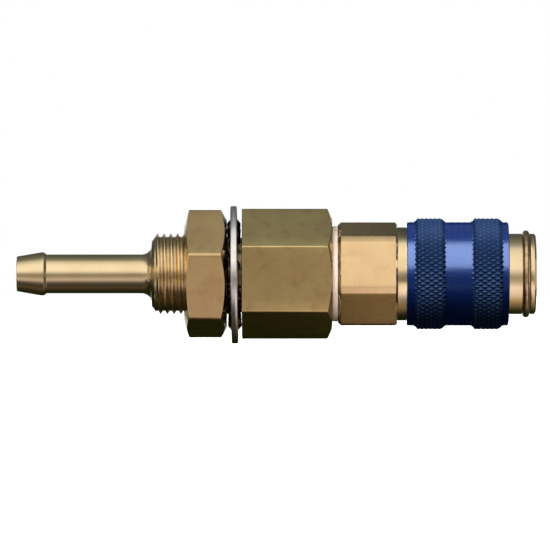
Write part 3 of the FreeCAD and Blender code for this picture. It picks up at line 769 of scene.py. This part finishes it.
def make_housing(brass):
    groove_back = SNAP_MIDDLE - SNAP_WIRE / 2 - SNAP_ROOM
    groove_front = SNAP_MIDDLE + SNAP_WIRE / 2 + SNAP_ROOM
    groove_floor = SNAP_R - SNAP_WIRE - SNAP_ROOM
    plug_groove_front = BALL_MIDDLE - BALL_R - BALL_ROOM - WEB
    plug_groove_back = plug_groove_front - PLUG_GROOVE_LENGTH
    seat = plug_groove_back - WEB

    def profile(_):
        return [
            (HOUSING_BACK, RING_SEAT_R, 0),
            (HOUSING_BACK, COLLAR_R, SOFT_EDGE),
            (HOUSING_BACK + COLLAR_LENGTH, COLLAR_R, EDGE),
            (HOUSING_BACK + COLLAR_LENGTH, NOSE_R, 0),
            (groove_back, NOSE_R, EDGE),
            (groove_back, groove_floor, 0),
            (groove_front, groove_floor, 0),
            (groove_front, NOSE_R, EDGE),
            (HOUSING_FRONT - RIM_EDGE, NOSE_R, RIM_ROUNDING),
            (HOUSING_FRONT, NOSE_R - RIM_EDGE, SOFT_EDGE),
            (HOUSING_FRONT, ENTRY_R + MOUTH_BEVEL, EDGE),
            (HOUSING_FRONT - MOUTH_BEVEL, ENTRY_R, EDGE),
            (HOUSING_FRONT - ENTRY_DEPTH, ENTRY_R, 0),
            (HOUSING_FRONT - ENTRY_DEPTH, PLUG_R, EDGE),
            (plug_groove_front, PLUG_R, EDGE),
            (plug_groove_front, PLUG_GROOVE_R, 0),
            (plug_groove_back, PLUG_GROOVE_R, 0),
            (plug_groove_back, PLUG_R, EDGE),
            (seat, PLUG_R, EDGE),
            (seat - (CHAMBER_R - PLUG_R), CHAMBER_R, 0),
            (HOUSING_BACK + REAR_BORE_DEPTH, CHAMBER_R, EDGE),
            (HOUSING_BACK + REAR_BORE_DEPTH, REAR_BORE_R, 0),
            (HOUSING_BACK + RING_SEAT_DEPTH, REAR_BORE_R, EDGE),
            (HOUSING_BACK + RING_SEAT_DEPTH, RING_SEAT_R, 0),
        ]

    holes = bmesh.new()
    hole_r = BALL_R + BALL_ROOM
    levels = [
        (PLUG_R - HOLE_PAST, BALL_LIP_R),
        (PLUG_R, BALL_LIP_R),
        (BALL_LIP_TOP, hole_r),
        (NOSE_R + HOLE_PAST, hole_r),
    ]
    for index in range(BALL_COUNT):
        turn = Matrix.Rotation(index * TURN / BALL_COUNT, 4, "X")
        rings = [[] for _ in levels]
        for ring, (height, radius) in zip(rings, levels):
            for side in range(HOLE_SIDES):
                angle = TURN * side / HOLE_SIDES
                along = BALL_MIDDLE + radius * math.cos(angle)
                corner = Vector((along * MM, radius * math.sin(angle) * MM, height * MM))
                ring.append(holes.verts.new(turn @ corner))
        for lower, upper in zip(rings, rings[1:]):
            for side in range(HOLE_SIDES):
                after = (side + 1) % HOLE_SIDES
                holes.faces.new((lower[side], lower[after], upper[after], upper[side]))
        holes.faces.new(reversed(rings[0]))
        holes.faces.new(rings[-1])
    mesh = combined(spun(profile, angles_round(0)), holes, "DIFFERENCE")

    # Painted shade in the snap ring's groove.
    def painted_shade(_, r):
        return DEEP_PAINTED_SHADE if groove_floor - SEAM < r < groove_floor + SKIN else 0.0

    piece = finished("turned_housing", mesh, brass, "housing", weighted=True, painted_shade=painted_shade)
    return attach(piece, "body")


SKIRT_R = 7.05
SHOULDER_X = 7.62
LOCK_R = 6.05
RAMP_START = 9.37
RAMP_END = 11.49
RECESS_R = 6.9
GUIDE_LENGTH = 1.44
SLEEVE_EDGE = 0.15
SLEEVE_LIP = 0.25
LAND_EDGE = 0.2
LIP_EDGE = 0.1
KNURL_FOOT = 0.03
FLAT_ENOUGH = 0.02


def split_along_grooves(mesh):
    """Cuts each face of the knurl that isn't flat along its lower diagonal, for clean grooves."""
    for face in list(mesh.faces):
        if len(face.verts) != 4:
            continue
        depths = [math.hypot(vert.co.y, vert.co.z) for vert in face.verts]
        twist = depths[0] + depths[2] - depths[1] - depths[3]
        if abs(twist) > FLAT_ENOUGH * MM:
            first = 1 if twist > 0 else 0
            bmesh.utils.face_split(face, face.verts[first], face.verts[first + 2])


def make_sleeve(blue, knurl):
    knurl_columns = KNURL_DIAMONDS * KNURL_STEPS
    angles = angles_round(0, knurl_columns)
    patch = BAND_LENGTH + 2 * BAND_BEVEL
    row = patch / KNURL_ROWS
    back, front = SLEEVE_BACK, SLEEVE_FRONT
    rear = back - SLEEVE_LIP

    def ends_and_bore(_):
        return [
            (back + END_LAND, LAND_R, 0),
            (rear, LAND_R, LAND_EDGE),
            (rear, SKIRT_R + SLEEVE_EDGE, LIP_EDGE),
            (rear + SLEEVE_EDGE, SKIRT_R, 0),
            (back + SHOULDER_X, SKIRT_R, 0),
            (back + SHOULDER_X, LOCK_R, EDGE),
            (back + RAMP_START, LOCK_R, EDGE),
            (back + RAMP_END, RECESS_R, 0),
            (front - GUIDE_LENGTH, RECESS_R, 0),
            (front - GUIDE_LENGTH, LOCK_R, EDGE),
            (front - SLEEVE_EDGE, LOCK_R, 0),
            (front, LOCK_R + SLEEVE_EDGE, LIP_EDGE),
            (front, LAND_R, LAND_EDGE),
            (front - END_LAND, LAND_R, 0),
        ]

    def centre_groove(_):
        return [(back + END_LAND + patch, LAND_R, 0), (front - END_LAND - patch, LAND_R, 0)]

    mesh = spun(ends_and_bore, angles, closed=False)
    add_mesh(mesh, plain("groove", spun(centre_groove, angles, closed=False)))
    tree = knurl_tree()
    for start in (back + END_LAND, front - END_LAND - patch):
        add_mesh(mesh, grown(
            tree, knurl, Columns=knurl_columns, Rows=KNURL_ROWS, Start=start * MM, Length=patch * MM,
            Crest_Radius=BAND_R * MM, Depth=KNURL_DEPTH * MM, Land_Radius=LAND_R * MM,
            Bevel=row * KNURL_BEVEL_ROWS * MM, Diamonds=KNURL_DIAMONDS,
            Diamond_Length=row * KNURL_STEPS * MM))
    split_along_grooves(mesh)
    for face in mesh.faces:
        centre = face.calc_center_median()
        outside = math.hypot(centre.y, centre.z) > (LAND_R + KNURL_FOOT) * MM
        face.material_index = 1 if outside else 0
    piece = finished("knurled_sleeve", mesh, blue, "sleeve", second=knurl, sharp=25.0)
    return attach(piece, "locking_sleeve")


def make_wire(name, tree, steel, node, start, end, turns, mean_radius, wire, first=0.0):
    """A spring or ring of round wire that lies between start and end."""
    mesh = bmesh.new()
    add_mesh(mesh, grown(
        tree, steel, Points=max(int(abs(turns) * WIRE_STEPS), WIRE_LEAST_STEPS), Sides=WIRE_SIDES,
        Start=(start + wire / 2) * MM, Advance=(end - start - wire) * MM, Turns=turns, First_Angle=first,
        Mean_Radius=mean_radius * MM, Wire=wire * MM))
    return finished(name, mesh, steel, node)


def make_wire_pieces(steel):
    tree = wire_tree()
    half = SNAP_WIRE / 2
    snap = make_wire("wire_snap_ring", tree, steel, "snap_ring", SNAP_MIDDLE - half, SNAP_MIDDLE + half,
                     1 - SNAP_OPEN / 360, SNAP_R - half, SNAP_WIRE, first=math.radians(SNAP_OPEN) / 2)
    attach(snap, "body")
    for name, node, follower, turns, radius, wire in SPRINGS:
        back, front = reach(node)
        spring = make_wire(name, tree, steel, node, back, front, turns, radius, wire)
        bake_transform(spring)


# Materials

BRASS_TURNED = (0.93, 0.73, 0.44, 1)
BRASS_DULL = (0.88, 0.66, 0.36, 1)
BRASS_OLIVE = (0.82, 0.62, 0.275, 1)
BRASS_PINK = (0.70, 0.46, 0.22, 1)
BRASS_PEACH = (0.92, 0.645, 0.34, 1)
BRASS_PEACH_DULL = (0.83, 0.55, 0.27, 1)
BRASS_STAIN = (0.52, 0.32, 0.17, 1)
# Colour of the painted shade in gaps, recesses and thread roots.
BRASS_PAINTED_SHADE = (0.10, 0.055, 0.018, 1)
BLUE_SMOOTH = (0.004, 0.024, 0.15, 1)
BLUE_DULL = (0.004, 0.020, 0.12, 1)
BLUE_KNURL = (0.019, 0.048, 0.13, 1)
# Colour of the painted shade in the knurl's grooves.
BLUE_GROOVE_SHADE = (0.004, 0.015, 0.055, 1)
# Lighter colour for the knurl's points: partly wear, partly a painted highlight.
BLUE_WORN_GLINT = (0.06, 0.11, 0.24, 1)
BLUE_GLOSS = (0.47, 0.64, 1.0, 1)
ZINC = (0.97, 0.89, 0.85, 1)
ZINC_DULL = (0.80, 0.76, 0.74, 1)
# Colour of the painted shade on the washer's teeth.
ZINC_PAINTED_SHADE = (0.05, 0.045, 0.04, 1)
SPRING_BRIGHT = (0.86, 0.61, 0.36, 1)
SPRING_DARK = (0.60, 0.40, 0.21, 1)
BALL_BRIGHT = (0.80, 0.80, 0.79, 1)
BALL_DULL = (0.60, 0.59, 0.57, 1)
SEAL_WHITE = (0.97, 0.82, 0.69, 1)
SEAL_GREY = (0.80, 0.65, 0.52, 1)
RUBBER_BLACK = (0.012, 0.012, 0.013, 1)
RUBBER_DUSTY = (0.045, 0.043, 0.042, 1)


def new_material(name, metallic=0.0):
    """A material, its tree and its shader."""
    material = bpy.data.materials.new(name)
    material.use_nodes = True
    shader = material.node_tree.nodes["Principled BSDF"]
    shader.inputs["Metallic"].default_value = metallic
    return material, material.node_tree, shader


def object_place(tree):
    return field(tree, "ShaderNodeTexCoord", "Object")


def clouds(tree, size, detail=2.0, stretch=(1, 1, 1)):
    """A cloudy pattern from 0 to 1 with blots of a size in millimetres, stretched along each axis."""
    scale = [1 / (size * MM * share) for share in stretch]
    place = field(tree, "ShaderNodeMapping", Vector=object_place(tree), Scale=scale)
    return field(tree, "ShaderNodeTexNoise", "Fac", Vector=place, Scale=1.0, Detail=detail)


def tool_marks(tree):
    """The fine lines that a lathe leaves round the axis."""
    return clouds(tree, size=0.16, stretch=(1, 300, 300))


def from_axis(tree):
    """The distance from the coupling's axis, in millimetres."""
    _, across, up = split(object_place(tree))
    return (across * across + up * up).math("SQRT") / MM


def spread(value, low, high):
    """0 below low, 1 above high and a straight line between."""
    return ((value - low) / (high - low)).at_least(0.0).at_most(1.0)


def blended(share, first, second):
    """A colour that goes from the first to the second as share goes from 0 to 1."""
    node = share.tree.nodes.new("ShaderNodeMix")
    node.data_type = "RGBA"
    plug(node.inputs["Factor"], share)
    colours = [socket for socket in node.inputs if socket.type == "RGBA"]
    plug(colours[0], first)
    plug(colours[1], second)
    return Field(next(socket for socket in node.outputs if socket.type == "RGBA"))


def mark(tree, name):
    """A value that is painted on the mesh."""
    node = tree.nodes.new("ShaderNodeAttribute")
    node.attribute_name = name
    return out(node, "Fac")


def dress(shader, colour, rough, relief=None, height=0.0):
    """Links a finish's colour and roughness, and bumps it by a pattern of a height in millimetres."""
    plug(shader.inputs["Base Color"], colour)
    plug(shader.inputs["Roughness"], rough)
    if relief:
        bump = field(relief.tree, "ShaderNodeBump", Height=relief, Distance=height * MM)
        plug(shader.inputs["Normal"], bump)


def brass_finish(name, flats_light, flats_dark, stain, height):
    """Brass: turned faces with fine tool lines, drawn flats of two tones with streaks and stains, and
    painted shade in gaps, recesses and thread roots.

    stain is how strong the stains are, and height that of the lines and streaks in millimetres.
    """
    material, tree, shader = new_material(name, metallic=1.0)
    drawn = mark(tree, "drawn")
    painted_shade = mark(tree, "painted_shade")
    tone = mark(tree, "pink")
    broad = clouds(tree, size=3.6, detail=3.0)
    fine = clouds(tree, size=0.8, detail=3.0)
    blots = clouds(tree, size=1.7, detail=4.0)
    streaks = clouds(tree, size=0.14, stretch=(28, 1, 1))
    lines = tool_marks(tree)
    turned = blended(spread(broad, low=0.35, high=0.75), BRASS_TURNED, BRASS_DULL)
    pink = (tone + (broad - 0.5) * 1.6).at_least(0.0).at_most(1.0)
    flats = blended(pink, flats_light, flats_dark)
    flats = blended(spread(blots, low=0.54, high=0.78) * stain, flats, BRASS_STAIN)
    colour = blended(drawn, turned, flats)
    # Painted shade where the mesh is marked for gaps and recesses; the same mark also roughens the
    # surface.
    colour = blended(painted_shade * spread(fine, low=0.1, high=0.6), colour, BRASS_PAINTED_SHADE)
    turned_rough = lines * 0.1 + 0.1
    flats_rough = fine * 0.06 + streaks * 0.02 + tone * 0.12 + 0.17
    rough = turned_rough + (flats_rough - turned_rough) * drawn + painted_shade * 0.2
    relief = lines + (streaks * 1.2 + fine * 1.6 - lines) * drawn
    dress(shader, colour, rough, relief, height)
    return material


def blue_material(name, gloss):
    """A dyed blue material whose gloss is blue as well."""
    material, tree, shader = new_material(name)
    shader.inputs["Specular IOR Level"].default_value = gloss
    shader.inputs["Specular Tint"].default_value = BLUE_GLOSS
    return material, tree, shader


def blue_finish():
    """Dyed blue anodising on the sleeve's turned lands."""
    material, tree, shader = blue_material("blue anodising", gloss=0.75)
    patches = clouds(tree, size=2.5, detail=3.0)
    fine = clouds(tree, size=0.25)
    lines = tool_marks(tree)
    colour = blended(spread(patches, low=0.4, high=0.75), BLUE_SMOOTH, BLUE_DULL)
    dress(shader, colour, fine * 0.1 + lines * 0.06 + 0.18, lines, height=0.0006)
    return material


def knurl_finish():
    """Dyed blue knurl: dull, with painted shade in its grooves, and a little worn on its points, which
    are lighter partly as a painted highlight.
    """
    material, tree, shader = blue_material("blue knurl", gloss=0.1)
    patches = clouds(tree, size=1.2, detail=3.0)
    fine = clouds(tree, size=0.25)
    radius = from_axis(tree)
    raised = spread(radius, low=BAND_R - KNURL_DEPTH, high=BAND_R - KNURL_POINT)
    point = spread(radius, low=BAND_R - KNURL_POINT, high=BAND_R)
    # The points are lighter, partly from wear and partly as a painted highlight.
    worn = point * spread(patches, low=0.35, high=0.65)
    # Painted shade: the knurl is darker down in its grooves.
    colour = blended(raised, BLUE_GROOVE_SHADE, BLUE_KNURL)
    colour = blended(worn, colour, BLUE_WORN_GLINT)
    dress(shader, colour, fine * 0.15 + 0.38, fine, height=0.0015)
    return material


def zinc_finish():
    """Zinc plating on the lock washer, with painted shade between its teeth."""
    material, tree, shader = new_material("zinc plated steel", metallic=1.0)
    patches = clouds(tree, size=1.5, detail=3.0)
    fine = clouds(tree, size=0.2)
    painted_shade = mark(tree, "painted_shade")
    colour = blended(spread(patches, low=0.35, high=0.7), ZINC, ZINC_DULL)
    # Painted shade on the teeth, where the mesh is marked.
    colour = blended(painted_shade, colour, ZINC_PAINTED_SHADE)
    dress(shader, colour, fine * 0.12 + painted_shade * 0.3 + 0.16, fine, height=0.002)
    return material


def spring_finish():
    """Oil-tempered spring wire."""
    material, tree, shader = new_material("spring wire", metallic=1.0)
    patches = clouds(tree, size=0.9, detail=3.0)
    fine = clouds(tree, size=0.12)
    colour = blended(spread(patches, low=0.35, high=0.65), SPRING_BRIGHT, SPRING_DARK)
    dress(shader, colour, fine * 0.15 + 0.2, fine, height=0.0015)
    return material


def ball_finish():
    """Polished bearing balls with fine scuffs."""
    material, tree, shader = new_material("ball steel", metallic=1.0)
    scuffs = clouds(tree, size=0.5, detail=4.0)
    colour = blended(spread(scuffs, low=0.5, high=0.75), BALL_BRIGHT, BALL_DULL)
    dress(shader, colour, scuffs * 0.16 + 0.03)
    return material


def seal_finish():
    """The whitish flat seal, slightly mottled."""
    material, tree, shader = new_material("white seal")
    patches = clouds(tree, size=1.4, detail=3.0)
    fine = clouds(tree, size=0.15)
    colour = blended(spread(patches, low=0.45, high=0.8), SEAL_WHITE, SEAL_GREY)
    dress(shader, colour, fine * 0.2 + 0.4, fine, height=0.004)
    return material


def rubber_finish():
    """Black rubber with a slight bloom."""
    material, tree, shader = new_material("black rubber")
    bloom = clouds(tree, size=0.8, detail=4.0)
    fine = clouds(tree, size=0.1)
    colour = blended(spread(bloom, low=0.4, high=0.8), RUBBER_BLACK, RUBBER_DUSTY)
    dress(shader, colour, bloom * 0.25 + 0.35, fine, height=0.004)
    return material


# Studio

VIEW_DISTANCE = 1.0
VIEW_WIDTH = 0.0819
VIEW_CENTRE = (0.00493, -0.00017)
FLOOR_Z = -0.05
FLOOR_HALF = 15
FLOOR_GREY = (0.8, 0.8, 0.8, 1)
FLOOR_GLOW = 0.55
TENT_R = 0.13
TENT_HALF = 0.36
TENT_SIDES = 96
PLAIN = (1.0, 1.0, 1.0)
ROSE = (1.0, 0.91, 0.98)
SAND = (1.0, 0.91, 0.82)
WARM = (1.0, 0.82, 0.55)
MOSS = (0.55, 1.0, 0.12)
SAGE = (0.90, 1.0, 1.0)
# What the metal mirrors, by degrees from the camera's side up over the top, as (degrees, light beside
# the tail, the large hexagons, the collar and the mouth, tint)
TENT_LIGHT = (
    (-180, 0.022, 0.013, 0.01, 0.022, MOSS),
    (-130, 0.022, 0.015, 0.01, 0.025, MOSS),
    (-120, 0.026, 0.02, 0.012, 0.06, WARM),
    (-109, 0.03, 0.025, 0.02, 0.12, WARM),
    (-91, 0.075, 0.03, 0.16, 0.28, WARM),
    (-76, 0.06, 0.04, 0.08, 0.54, WARM),
    (-62, 0.055, 0.05, 0.09, 0.80, ROSE),
    (-49, 0.17, 0.14, 0.92, 0.95, ROSE),
    (-37, 0.54, 0.46, 1.25, 0.98, ROSE),
    (-32, 0.57, 0.58, 1.25, 0.80, ROSE),
    (-25, 0.47, 0.57, 1.15, 0.57, SAND),
    (-18, 0.37, 0.44, 0.13, 0.445, SAND),
    (-11, 0.29, 0.26, 0.13, 0.38, SAND),
    (-4, 0.34, 0.255, 0.16, 0.48, SAND),
    (2, 0.46, 0.34, 0.28, 0.63, PLAIN),
    (9, 0.74, 0.58, 0.80, 0.86, PLAIN),
    (14, 0.95, 0.85, 1.0, 0.97, PLAIN),
    (26, 1.06, 1.0, 0.86, 1.03, PLAIN),
    (50, 1.02, 1.0, 1.16, 0.955, PLAIN),
    (60, 0.93, 0.94, 1.18, 0.89, PLAIN),
    (72, 0.73, 0.82, 1.15, 0.79, PLAIN),
    (79, 0.56, 0.66, 1.1, 0.61, PLAIN),
    (86, 0.35, 0.48, 0.55, 0.43, SAGE),
    (95, 0.22, 0.39, 0.15, 0.285, SAGE),
    (104, 0.165, 0.28, 0.07, 0.215, SAGE),
    (124, 0.115, 0.20, 0.06, 0.125, SAGE),
    (141, 0.095, 0.14, 0.06, 0.10, SAGE),
    (180, 0.08, 0.08, 0.08, 0.08, SAGE),
)
FROM_TAIL = (-0.018, -0.012)
TO_MOUTH = (0.0135, 0.0175)
TO_COLLAR = (0.0235, 0.0255)
FROM_COLLAR = (0.033, 0.037)
PAST_MOUTH = (0.085, 0.12)
PAST_MOUTH_LIGHT = (0.1, 0.1, 0.1, 1)
# Lit cards in the tent, as (name, light, place, axis it is stood up about, width, height)
CARDS = (
    ("card at the tail end", 0.4, (-TENT_HALF, 0, 0), "Y", 2 * TENT_R, 2 * TENT_R),
    ("card at the mouth end", 0.55, (TENT_HALF, 0, 0), "Y", 2 * TENT_R, 2 * TENT_R),
    ("card at the back", 0.7, (0.005, 0.123, 0.007), "X", 0.1, 0.062),
    ("wide card at the back", 0.2, (0.005, 0.125, 0.007), "X", 0.6, 0.062),
)
FILL_LIGHT = 0.08
SUN_LIGHT = 3.4
SUN_HEADING = (0.25, 0.75, -1.0)
FRONT_LIGHT = 3.4
FRONT_HEADING = (0.1, 1.0, -0.26)
BACK_LIGHT = 1.5
BACK_HEADING = (-0.2, -1.0, -0.25)
SOFTNESS = 40.0
STRIP_DISTANCE = 0.11
STRIP_LENGTH = 0.6
# Light for the sleeve's gloss alone, as (name, degrees up over the top, span in degrees, light)
STRIPS = (
    ("strip below the sleeve", -27, 12, 0.4),
    ("strip in front of the sleeve", 42, 58, 8.4),
    ("strip above the sleeve", 110, 50, 0.25),
    ("strip behind the sleeve", 180, 32, 3.0),
)


def make_camera():
    data = bpy.data.cameras.new("camera")
    data.lens = data.sensor_width * VIEW_DISTANCE / VIEW_WIDTH
    camera = placed("camera", data)
    camera.location = (VIEW_CENTRE[0], -VIEW_DISTANCE, VIEW_CENTRE[1])
    camera.rotation_euler = (math.pi / 2, 0, 0)
    bpy.context.scene.camera = camera


def seen_directly(tree):
    """1 for rays that show the background: to the camera, mirrored or through glass."""
    path = tree.nodes.new("ShaderNodeLightPath")
    shown = out(path, "Is Camera Ray") + out(path, "Is Glossy Ray")
    return (shown + out(path, "Is Transmission Ray")).at_most(1.0)


def make_world():
    world = bpy.data.worlds.new("white studio")
    world.use_nodes = True
    tree = world.node_tree
    background = tree.nodes["Background"]
    background.inputs["Color"].default_value = (*PLAIN, 1)
    strength = seen_directly(tree) * (1 - FILL_LIGHT) + FILL_LIGHT
    plug(background.inputs["Strength"], strength)
    bpy.context.scene.world = world


def bare_material(name):
    """A material whose shader is still to be linked to its output."""
    material = bpy.data.materials.new(name)
    material.use_nodes = True
    tree = material.node_tree
    tree.nodes.remove(tree.nodes["Principled BSDF"])
    return material, tree, tree.nodes["Material Output"].inputs["Surface"]


def stage_piece(name, mesh, material):
    """A thing of the studio, which isn't part of the object."""
    data = plain(name, mesh)
    data.materials.append(material)
    thing = placed(name, data)
    return thing


def make_floor():
    material, tree, surface = bare_material("white floor")
    both = tree.nodes.new("ShaderNodeAddShader")
    plug(both.inputs[0], field(tree, "ShaderNodeBsdfDiffuse", Color=FLOOR_GREY))
    glow = field(tree, "ShaderNodeEmission", Strength=seen_directly(tree) * FLOOR_GLOW)
    plug(both.inputs[1], glow)
    plug(surface, out(both))
    mesh = bmesh.new()
    bmesh.ops.create_grid(mesh, x_segments=1, y_segments=1, size=FLOOR_HALF,
                          matrix=Matrix.Translation((0, 0, FLOOR_Z)))
    floor = stage_piece("floor", mesh, material)
    floor.visible_glossy = False
    floor.visible_diffuse = False


def reflection_only(thing):
    thing.visible_camera = False
    thing.visible_diffuse = False
    thing.visible_shadow = False
    thing.visible_transmission = False


def light_round(tree, heading, side):
    """The tent's light beside the tail, hexagons, collar or mouth (0 to 3), by the heading."""
    ramp = add(tree, "ShaderNodeValToRGB", Fac=heading)
    stops = ramp.color_ramp.elements
    stops.remove(stops[1])
    for index, (degrees, *light, tint) in enumerate(TENT_LIGHT):
        stop = stops[0] if index == 0 else stops.new(degrees / 360 + 0.5)
        stop.position = degrees / 360 + 0.5
        stop.color = (*(light[side] * share for share in tint), 1)
    return out(ramp)


def make_tent():
    """A tube of soft light and dark cloth round the object, which only reflections see."""
    material, tree, surface = bare_material("tent")
    along, across, up = split(object_place(tree))
    heading = up.math("ARCTAN2", across * -1.0) / TURN + 0.5
    tail, hexagons, collar, mouth = (light_round(tree, heading, side) for side in range(4))
    colour = blended(spread(along, *FROM_TAIL), tail, hexagons)
    colour = blended(spread(along, *TO_MOUTH), colour, mouth)
    beside_collar = spread(along, *TO_COLLAR) - spread(along, *FROM_COLLAR)
    colour = blended(beside_collar, colour, collar)
    colour = blended(spread(along, *PAST_MOUTH), colour, PAST_MOUTH_LIGHT)
    plug(surface, field(tree, "ShaderNodeEmission", Color=colour))
    mesh = bmesh.new()
    bmesh.ops.create_cone(mesh, cap_ends=False, segments=TENT_SIDES, radius1=TENT_R, radius2=TENT_R,
                          depth=2 * TENT_HALF, matrix=Matrix.Rotation(math.pi / 2, 4, "Y"))
    tent = stage_piece("tent", mesh, material)
    reflection_only(tent)
    return tent


def make_card(name, light, place, axis, wide, high):
    """A flat lit card, which only reflections see."""
    material, tree, surface = bare_material(name)
    plug(surface, field(tree, "ShaderNodeEmission", Strength=light))
    turn = Matrix.Rotation(math.pi / 2, 4, axis)
    mesh = bmesh.new()
    bmesh.ops.create_grid(mesh, x_segments=1, y_segments=1, size=0.5, matrix=(
        Matrix.Translation(place) @ turn @ Matrix.Diagonal((wide, high, 1, 1))))
    reflection_only(stage_piece(name, mesh, material))


def make_sun(name, light, heading):
    """A soft light on what isn't metal."""
    data = bpy.data.lights.new(name, "SUN")
    data.energy = light
    data.angle = math.radians(SOFTNESS)
    lamp = placed(name, data)
    lamp.rotation_euler = Vector(heading).to_track_quat("-Z", "Y").to_euler()
    lamp.visible_glossy = False
    return lamp


def make_strip(name, degrees, span, light):
    """A long strip light beside the sleeve that gives gloss alone."""
    data = bpy.data.lights.new(name, "AREA")
    data.shape = "RECTANGLE"
    data.size = STRIP_LENGTH
    data.size_y = 2 * STRIP_DISTANCE * slope(span / 2)
    data.energy = light * math.pi * data.size * data.size_y
    lamp = placed(name, data)
    height = math.radians(degrees)
    aim = Vector((0, -math.cos(height), math.sin(height)))
    lamp.location = aim * STRIP_DISTANCE
    lamp.rotation_euler = aim.to_track_quat("Z", "Y").to_euler()
    lamp.visible_diffuse = False
    lamp.visible_camera = False
    return lamp


def link_light(lamp, piece, state):
    """Makes a light fall on one piece alone (INCLUDE), or on all but that piece (EXCLUDE)."""
    linked = bpy.data.collections.new(lamp.name)
    linked.objects.link(piece)
    linked.collection_objects[0].light_linking.link_state = state
    lamp.light_linking.receiver_collection = linked


def light_object(sleeve, seal):
    """The studio's light. The sleeve has strips of its own, because its skin mirrors less than metal."""
    link_light(make_sun("soft sun", SUN_LIGHT, SUN_HEADING), seal, "EXCLUDE")
    link_light(make_sun("soft front light", FRONT_LIGHT, FRONT_HEADING), sleeve, "EXCLUDE")
    make_sun("soft back light", BACK_LIGHT, BACK_HEADING)
    link_light(make_tent(), sleeve, "EXCLUDE")
    for strip in STRIPS:
        link_light(make_strip(*strip), sleeve, "INCLUDE")
    for card in CARDS:
        make_card(*card)


brass = brass_finish("brass", BRASS_OLIVE, BRASS_PINK, stain=0.45, height=0.0022)
peach_brass = brass_finish("peach brass", BRASS_PEACH, BRASS_PEACH_DULL, stain=0.2, height=0.0008)
blue = blue_finish()
blue_knurl = knurl_finish()
zinc = zinc_finish()
spring_wire = spring_finish()
ball_steel = ball_finish()
white_seal = seal_finish()
rubber = rubber_finish()

make_bulkhead_body(brass)
make_lock_nut(brass)
make_lock_washer(zinc)
seal = make_sealing_ring(white_seal)
make_rear_adapter(peach_brass)
make_housing(brass)
sleeve = make_sleeve(blue, blue_knurl)
make_wire_pieces(spring_wire)
carried = {"valve": brass, "valve_oring": rubber, "plug_oring": rubber, "housing_oring": rubber}
for index in range(BALL_COUNT):
    carried[f"lock_ball_{index + 1}"] = ball_steel
for node, finish in carried.items():
    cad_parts[node].data.materials.clear()
    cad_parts[node].data.materials.append(finish)

make_camera()
make_world()
make_floor()
light_object(sleeve, seal)
bpy.context.scene.view_settings.view_transform = "Standard"
